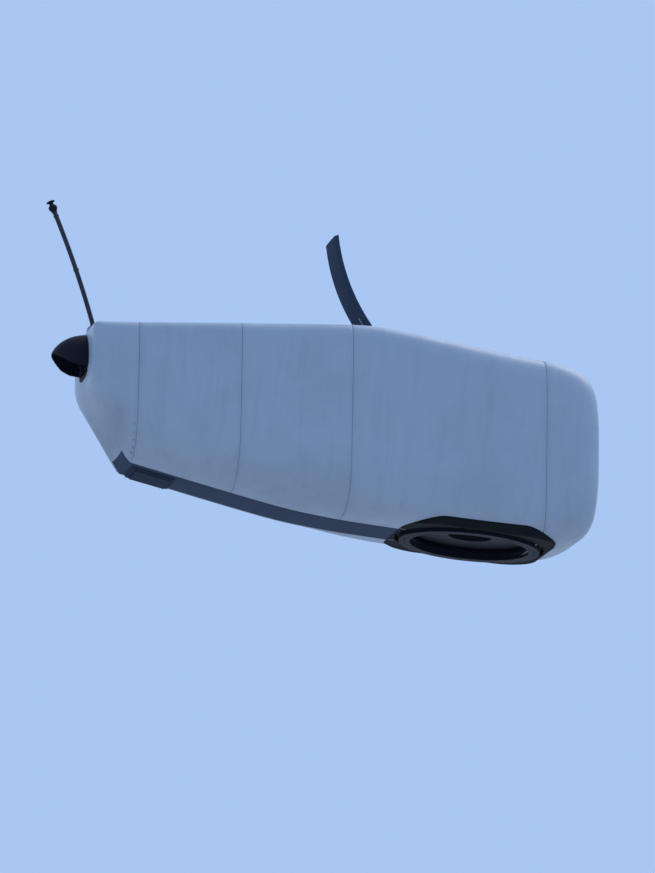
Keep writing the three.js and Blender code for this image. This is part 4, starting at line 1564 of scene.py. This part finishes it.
@dataclass
class WeatherMast:
    """The raked mast at the rear edge of the roof: foot plate, tube and wind sensor."""

    foot: tuple[float, float] = (-7.9, 3.29)
    head: tuple[float, float] = (-8.94, 5.51)
    bow: tuple[float, float] = (0.07, 0.03)
    radius: float = 0.046
    collars: tuple[float, ...] = (0.03, 0.5, 0.965)

    def build(self) -> None:
        """Makes the tube with its collars, the foot and the sensor."""
        piece = Piece("mast_tube", Body.NACELLE)
        piece.tube(from_drawing(swept(self._line(60), self.radius, 28)))
        widths = self.radius + np.array([0.001, 0.008, 0.01, 0.01, 0.008, 0.001])
        for share in self.collars:
            piece.tube(from_drawing(swept(self._line(6, share - 0.012, share + 0.012), widths, 28)))
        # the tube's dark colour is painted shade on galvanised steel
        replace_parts(piece.make(Finishes.MAST, "galvanised"), "sensor_mast")
        self._foot()
        self._sensor()

    def _line(self, count: int, low: float = 0.0, high: float = 1.0) -> Grid:
        """Points of the tube's centre line, a quadratic curve that bows to the front.

        Args:
            count: Number of points.
            low: Where it starts, from 0 at the foot.
            high: Where it ends, up to 1 at the head.

        Returns:
            Points in the drawing frame.
        """
        t = np.linspace(low, high, count)[:, None]
        foot, head = np.array(self.foot), np.array(self.head)
        bow = (foot + head) / 2.0 + np.array(self.bow)
        x, z = ((1.0 - t) ** 2 * foot + 2.0 * t * (1.0 - t) * bow + t**2 * head).T
        return xyz(x, 0.0, z)

    def _foot(self) -> None:
        """Makes the foot plate on the roof, with four nuts."""
        piece = Piece("mast_foot_plate", Body.NACELLE)
        x, z = self.foot
        plate = rounded_box(0.26, 0.24, 0.03, 5)
        roof = HULL.height(x + plate[:, 0], plate[:, 1], 0.0, upper=True) - 0.002
        steps = ((0.004, roof), (0.0, z - 0.03), (0.0, z - 0.004), (0.006, z - 0.0005))
        spots = [(plate * (1.0 - inset / 0.13), level) for inset, level in steps]
        piece.tube(from_drawing(np.stack([xyz(x + spot[:, 0], spot[:, 1], level) for spot, level in spots])))
        profile = [(0.0, 0.019), (0.003, 0.02), (0.016, 0.02), (0.019, 0.017), (0.019, POLE)]
        corners = xyz(x + 0.095 * np.array([-1, -1, 1, 1]), 0.085 * np.array([-1, 1, -1, 1]), z - 0.001)
        piece.copies(revolved(profile, full_turn(6)), from_drawing(corners), Z_AXIS)
        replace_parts(piece.make(Finishes.ZINC, "galvanised"), "mast_foot")

    def _sensor(self) -> None:
        """Makes the wind sensor: a turned body with a waist between its two heads."""
        piece = Piece("wind_sensor_body", Body.NACELLE)
        profile = [
            (0.0, 0.0), (0.0, 0.058), (0.004, 0.06), (0.03, 0.06), (0.036, 0.066), (0.055, 0.084),
            (0.06, 0.085), (0.115, 0.085), (0.121, 0.082), (0.15, 0.046), (0.156, 0.043), (0.18, 0.043),
            (0.186, 0.047), (0.199, 0.082), (0.204, 0.085), (0.222, 0.085), (0.229, 0.078), (0.236, 0.05),
            (0.24, 0.001),
        ]
        line = self._line(3, 0.98)
        way = line[-1:] - line[:1]
        way /= np.linalg.norm(way)
        piece.copies(revolved(profile, full_turn(36)), from_drawing(line[-1:] + way * 0.0003), way)
        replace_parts(piece.make(Finishes.DARK, "dark_plastic"), "wind_sensor")


def hole_shade_disc(radius: float) -> Grid:
    """A flat black disc of painted shade that stands for a deep hole, turned round Z, 0.9 mm high with a
    bevelled rim.
    """
    return revolved([(0.0, radius), (0.0008, radius - 0.001), (0.0009, POLE)], full_turn(16))


@dataclass
class YawBearing:
    """The rings in the belly's opening, and the rubber skirt round them."""

    outer: float = 1.4
    inner: float = 1.18
    flange_top: float = 0.09
    bevel: float = 0.006
    bolt_circle: float = 1.29
    bolts: int = 96
    gear_outer: float = 1.33
    gear_inner: float = 1.11
    teeth: int = 132
    steps_per_tooth: int = 8
    race_inner: float = 1.3325
    race_outer: float = 1.425
    race_top: float = 0.2145
    skirt_inner: float = 1.48

    def build(self) -> None:
        """Makes the flange ring with its bolt holes, the gear ring, the race and the skirt."""
        self._flange()
        self._gear()
        self._race()
        self._skirt()
        self._opening_trim()
        self._skirt_screws()

    @staticmethod
    def _ring(name: str, body: Body, profile: Profile, turn: Grid, mark: float) -> Piece:
        """Turns a closed profile round the tower's axis.

        Args:
            name: The mesh's name.
            body: What it rides on.
            profile: Pairs of a height and a radius.
            turn: The turns in radians.
            mark: Its share of grime.

        Returns:
            The piece.
        """
        piece = Piece(name, body)
        piece.grid(from_drawing(revolved(profile, turn)), wrap=True, loop=True, mark=mark)
        return piece

    def _flange(self) -> None:
        """Makes the flange ring, with a black disc of painted shade for the tapped hole at each bolt of the
        tower.
        """
        inner, outer, top, cut = self.inner, self.outer, self.flange_top, self.bevel
        profile = [
            (0.0, inner + cut), (0.0, outer - cut), (cut, outer), (top - cut, outer),
            (top, outer - cut), (top, inner + cut), (top - cut, inner), (cut, inner),
        ]
        piece = self._ring("tower_flange_ring", Body.TOWER_RING, profile, full_turn(192), 0.2)
        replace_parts(piece.make(Finishes.RING, "dark_steel"), "yaw_flange_ring")
        holes = Piece("tower_bolt_holes", Body.TOWER_RING)
        centres = revolved([(0.0, self.bolt_circle)], full_turn(self.bolts) + math.pi / self.bolts)[0]
        holes.copies(hole_shade_disc(0.0215), from_drawing(centres), -Z_AXIS)
        holes.make(Finishes.RUBBER, "dark_steel")

    def _gear(self) -> None:
        """Makes the gear ring: inside it, each tooth is a rounded step of the radius over the turn."""
        turn = full_turn(self.teeth * self.steps_per_tooth)
        tooth = self.gear_inner + 0.013 - 0.0125 * np.clip(1.6 * np.cos(self.teeth * turn), -1.0, 1.0)
        low, top, outer = self.flange_top + 0.0003, self.race_top, self.gear_outer
        profile = [
            (low, tooth + 0.002), (0.094, tooth), (0.21, tooth), (top, tooth + 0.002),
            (top, outer - 0.003), (0.211, outer), (0.094, outer), (low, outer - 0.003),
        ]
        piece = self._ring("yaw_gear_teeth_ring", Body.TOWER_RING, profile, turn, 0.25)
        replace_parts(piece.make(Finishes.RING, "dark_steel"), "yaw_gear_ring")

    def _race(self) -> None:
        """Makes the race, with a groove round its outside."""
        inner, outer, top = self.race_inner, self.race_outer, self.race_top
        profile = [
            (0.115, inner), (0.112, 1.336), (0.112, 1.42), (0.116, outer), (0.15, outer), (0.155, 1.419),
            (0.17, 1.419), (0.175, outer), (top, outer), (top, inner),
        ]
        piece = self._ring("yaw_race_ring", Body.NACELLE, profile, full_turn(192), 0.3)
        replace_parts(piece.make(Finishes.RING, "dark_steel"), "yaw_race")

    def _skirt(self) -> None:
        """Makes the skirt: square outside with rounded corners, round inside, with a lip at its foot."""
        piece = Piece("yaw_skirt_rubber", Body.NACELLE)
        square = (
            (0.329, 0.003), (0.326, 0.0003), (0.068, 0.0003), (0.061, 0.004), (0.06, 0.01), (0.06, 0.028),
            (0.066, 0.032),
        )
        edges = [(OPENING.outline(inset), height) for height, inset in square]
        rows = np.stack([xyz(edge[:, 0], edge[:, 1], height) for edge, height in edges])
        way = np.arctan2(rows[0, :, 1], rows[0, :, 0])
        inner = self.skirt_inner
        profile = [
            (0.066, 1.5), (0.058, 1.494), (0.056, 1.486), (0.06, inner + 0.0005), (0.1, inner), (0.11, 1.486),
            (0.14, 1.486), (0.15, inner), (0.324, inner), (0.33, 1.487),
        ]
        rows = np.concatenate([rows, revolved(profile, way)])
        piece.grid(from_drawing(rows), wrap=True, loop=True, mark=0.15)
        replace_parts(piece.make(Finishes.RUBBER, "rubber"), "yaw_skirt")

    @staticmethod
    def _opening_trim() -> None:
        """Makes the round trim along the housing's edge at the opening."""
        piece = Piece("tower_opening_trim", Body.NACELLE)
        edge = OPENING.outline(-0.002)
        path = np.column_stack([edge, HULL.height(edge[:, 0], edge[:, 1], 0.004, upper=False)])
        closed = np.concatenate([path[-2:], path, path[:2]])
        piece.grid(from_drawing(swept(closed, 0.013, 8)[2:-2]), wrap=True, loop=True, mark=0.1)
        piece.make(Finishes.RUBBER, "rubber")

    @staticmethod
    def _skirt_screws() -> None:
        """Makes the skirt's screws, where the square outside leaves room for them."""
        piece = Piece("yaw_skirt_screws", Body.NACELLE)
        spots = spaced(OPENING.outline(0.06), 0.16)
        spots = spots[np.hypot(spots[:, 0], spots[:, 1]) > 1.54]
        dome = revolved([(0.0, 0.014), (0.005, 0.013), (0.009, 0.007), (0.0095, POLE)], full_turn(10))
        piece.copies(dome, from_drawing(xyz(spots[:, 0], spots[:, 1], 0.0665)), -Z_AXIS)
        piece.make(Finishes.RING, "dark_steel")


@dataclass
class DriveTrain:
    """The machines inside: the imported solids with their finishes, and the turned shaft with its flange."""

    flange: float = 2.205
    flange_outer: float = 0.74
    bore: float = 0.25
    stud_circle: float = 0.655
    studs: int = 54

    def build(self) -> None:
        """Makes the shaft and its stud holes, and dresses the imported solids."""
        self._shaft()
        self._stud_holes()
        self._dress(
            Finishes.FRAME, "bedplate", "main_bearing_housing", "gearbox", "generator", "cross_beam_front",
            "cross_beam_rear", "rear_beam_left", "rear_beam_right", "housing_arm_front_left",
            "housing_arm_front_right",
        )
        self._dress(Finishes.STEEL, "brake_and_coupling")
        # the yaw seat's near black is painted shade inside the tower opening
        self._dress(Finishes.SEAT, "yaw_seat")
        self._dress(Finishes.ZINC, "hatch_hinge_left", "hatch_hinge_right")
        # the louvre's near black is painted shade inside the hood
        self._dress(Finishes.DARK, "outlet_louvre")
        # the belly hatch's dark navy is painted shade of the underside
        self._dress(Finishes.HATCH, "belly_hatch_lid", "belly_hatch_frame")

    @staticmethod
    def _dress(finish: Finish, *names: str) -> None:
        """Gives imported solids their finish.

        Args:
            finish: The finish.
            names: The nodes that it goes on.
        """
        for name in names:
            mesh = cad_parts[name].data
            mesh.materials.clear()
            mesh.materials.append(finish.material())
            LOG.info("%s: dressed in %s", name, finish.name)

    def _shaft(self) -> None:
        """Makes the turned shaft and its rotor flange, with a raised rim and a shallow bore."""
        x, outer, bore = self.flange, self.flange_outer, self.bore
        profile = [
            (-0.56, POLE), (-0.56, 0.294), (-0.554, 0.3), (0.5, 0.34), (0.94, 0.4), (1.62, 0.43),
            (x - 0.32, 0.48), (x - 0.2, 0.54), (x - 0.13, 0.62), (x - 0.122, outer - 0.007),
            (x - 0.116, outer), (x - 0.006, outer), (x, outer - 0.006), (x, bore + 0.008), (x - 0.006, bore),
            (x - 0.194, bore), (x - 0.2, bore - 0.006), (x - 0.2, POLE),
        ]
        piece = Piece("rotor_shaft", Body.NACELLE)
        piece.grid(along_shaft(np.roll(revolved(profile, full_turn(128)), 1, axis=-1)), wrap=True)
        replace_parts(piece.make(Finishes.STEEL, "bare_steel"), "main_shaft")

    def _stud_holes(self) -> None:
        """Sets the ring of black discs of painted shade for the stud holes on the rotor flange."""
        piece = Piece("rotor_stud_holes", Body.NACELLE)
        circle = revolved([(self.flange, self.stud_circle)], full_turn(self.studs))[0]
        way = along_shaft(np.array([[1.0, 0.0, 0.0]])) - along_shaft(np.zeros((1, 3)))
        piece.copies(hole_shade_disc(0.0225), along_shaft(np.roll(circle, 1, axis=-1)), way)
        piece.make(Finishes.RUBBER, "rubber")


@dataclass
class Studio:
    """The pale floor, the soft light and the camera at the photograph's angle."""

    azimuth: float = math.radians(-10.0)
    elevation: float = math.radians(-12.5)
    roll: float = math.radians(6.0)
    distance: float = 106.0
    width: float = 17.23
    shift: tuple[float, float] = (-2.788, 2.189)
    sensor: float = 36.0
    far: float = 3000.0
    floor_z: float = -75.0
    floor_radius: float = 900.0
    air: tuple[float, float, float] = (0.40, 0.57, 0.90)

    def build(self) -> None:
        """Makes the floor, the world, the lamps and the camera."""
        self._floor()
        self._air()
        self._sun("sun_high", (-0.45, -0.35, -0.82), 1.5, 40.0)
        self._sun("sun_low", (-0.2, -0.95, -0.25), 0.4, 60.0)
        self._camera()

    def _floor(self) -> None:
        """Makes the floor, a wide pale disc far under the nacelle."""
        ring = revolved([(self.floor_z, self.floor_radius)], full_turn(96))[0]
        mesh = bpy.data.meshes.new("studio_floor")
        mesh.from_pydata(ring.tolist(), [], [list(range(len(ring)))])
        floor = bpy.data.objects.new("studio_floor", mesh)
        bpy.context.scene.collection.objects.link(floor)
        mesh.materials.append(Finishes.FLOOR.material())

    def _air(self) -> None:
        """Makes the pale world, with its colours shown as they are."""
        world = bpy.data.worlds.new("studio_air")
        world.use_nodes = True
        background = world.node_tree.nodes["Background"]
        background.inputs["Color"].default_value = (*self.air, 1.0)
        background.inputs["Strength"].default_value = 1.0
        bpy.context.scene.world = world
        bpy.context.scene.view_settings.view_transform = "Standard"

    @staticmethod
    def _sun(name: str, way: tuple[float, float, float], strength: float, size: float) -> None:
        """Makes a sun lamp.

        Args:
            name: Its name.
            way: The direction of its light.
            strength: Its strength.
            size: How wide it is, in degrees: the wider, the softer.
        """
        lamp = bpy.data.lights.new(name, "SUN")
        lamp.energy = strength
        lamp.angle = math.radians(size)
        holder = bpy.data.objects.new(name, lamp)
        holder.rotation_mode = "QUATERNION"
        holder.rotation_quaternion = Vector(way).normalized().to_track_quat("-Z", "Y")
        bpy.context.scene.collection.objects.link(holder)

    def _camera(self) -> None:
        """Places the camera: it looks along the photograph's line and is rolled as the nacelle hangs."""
        a, e = -self.azimuth, -self.elevation
        ahead = np.array([math.sin(a) * math.cos(e), math.cos(a) * math.cos(e), math.sin(e)])
        right = np.array([math.cos(a), -math.sin(a), 0.0])
        up = np.cross(right, ahead)
        c, s = math.cos(self.roll), math.sin(self.roll)
        right, up = c * right + s * up, -s * right + c * up
        centre = np.array([-SEAT, 0.0, 0.0]) + self.shift[0] * right + self.shift[1] * up
        turn = np.eye(4)
        turn[:3] = np.column_stack([right, up, -ahead, centre - self.distance * ahead])
        data = bpy.data.cameras.new("camera")
        data.lens = self.sensor * self.distance / self.width
        data.sensor_width = self.sensor
        data.clip_end = self.far
        camera = bpy.data.objects.new("camera", data)
        camera.matrix_world = Matrix(turn.tolist())
        bpy.context.scene.collection.objects.link(camera)
        bpy.context.scene.camera = camera


def main() -> None:
    """Builds the scene in order."""
    logging.basicConfig(level=logging.INFO, format="%(name)s: %(message)s")
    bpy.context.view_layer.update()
    Studio().build()
    for assembly in (HousingShell(), RoofHatch(), OutletHood(), WeatherMast(), YawBearing(), DriveTrain()):
        LOG.info("building %s", type(assembly).__name__)
        assembly.build()


if __name__ == "__main__":
    main()
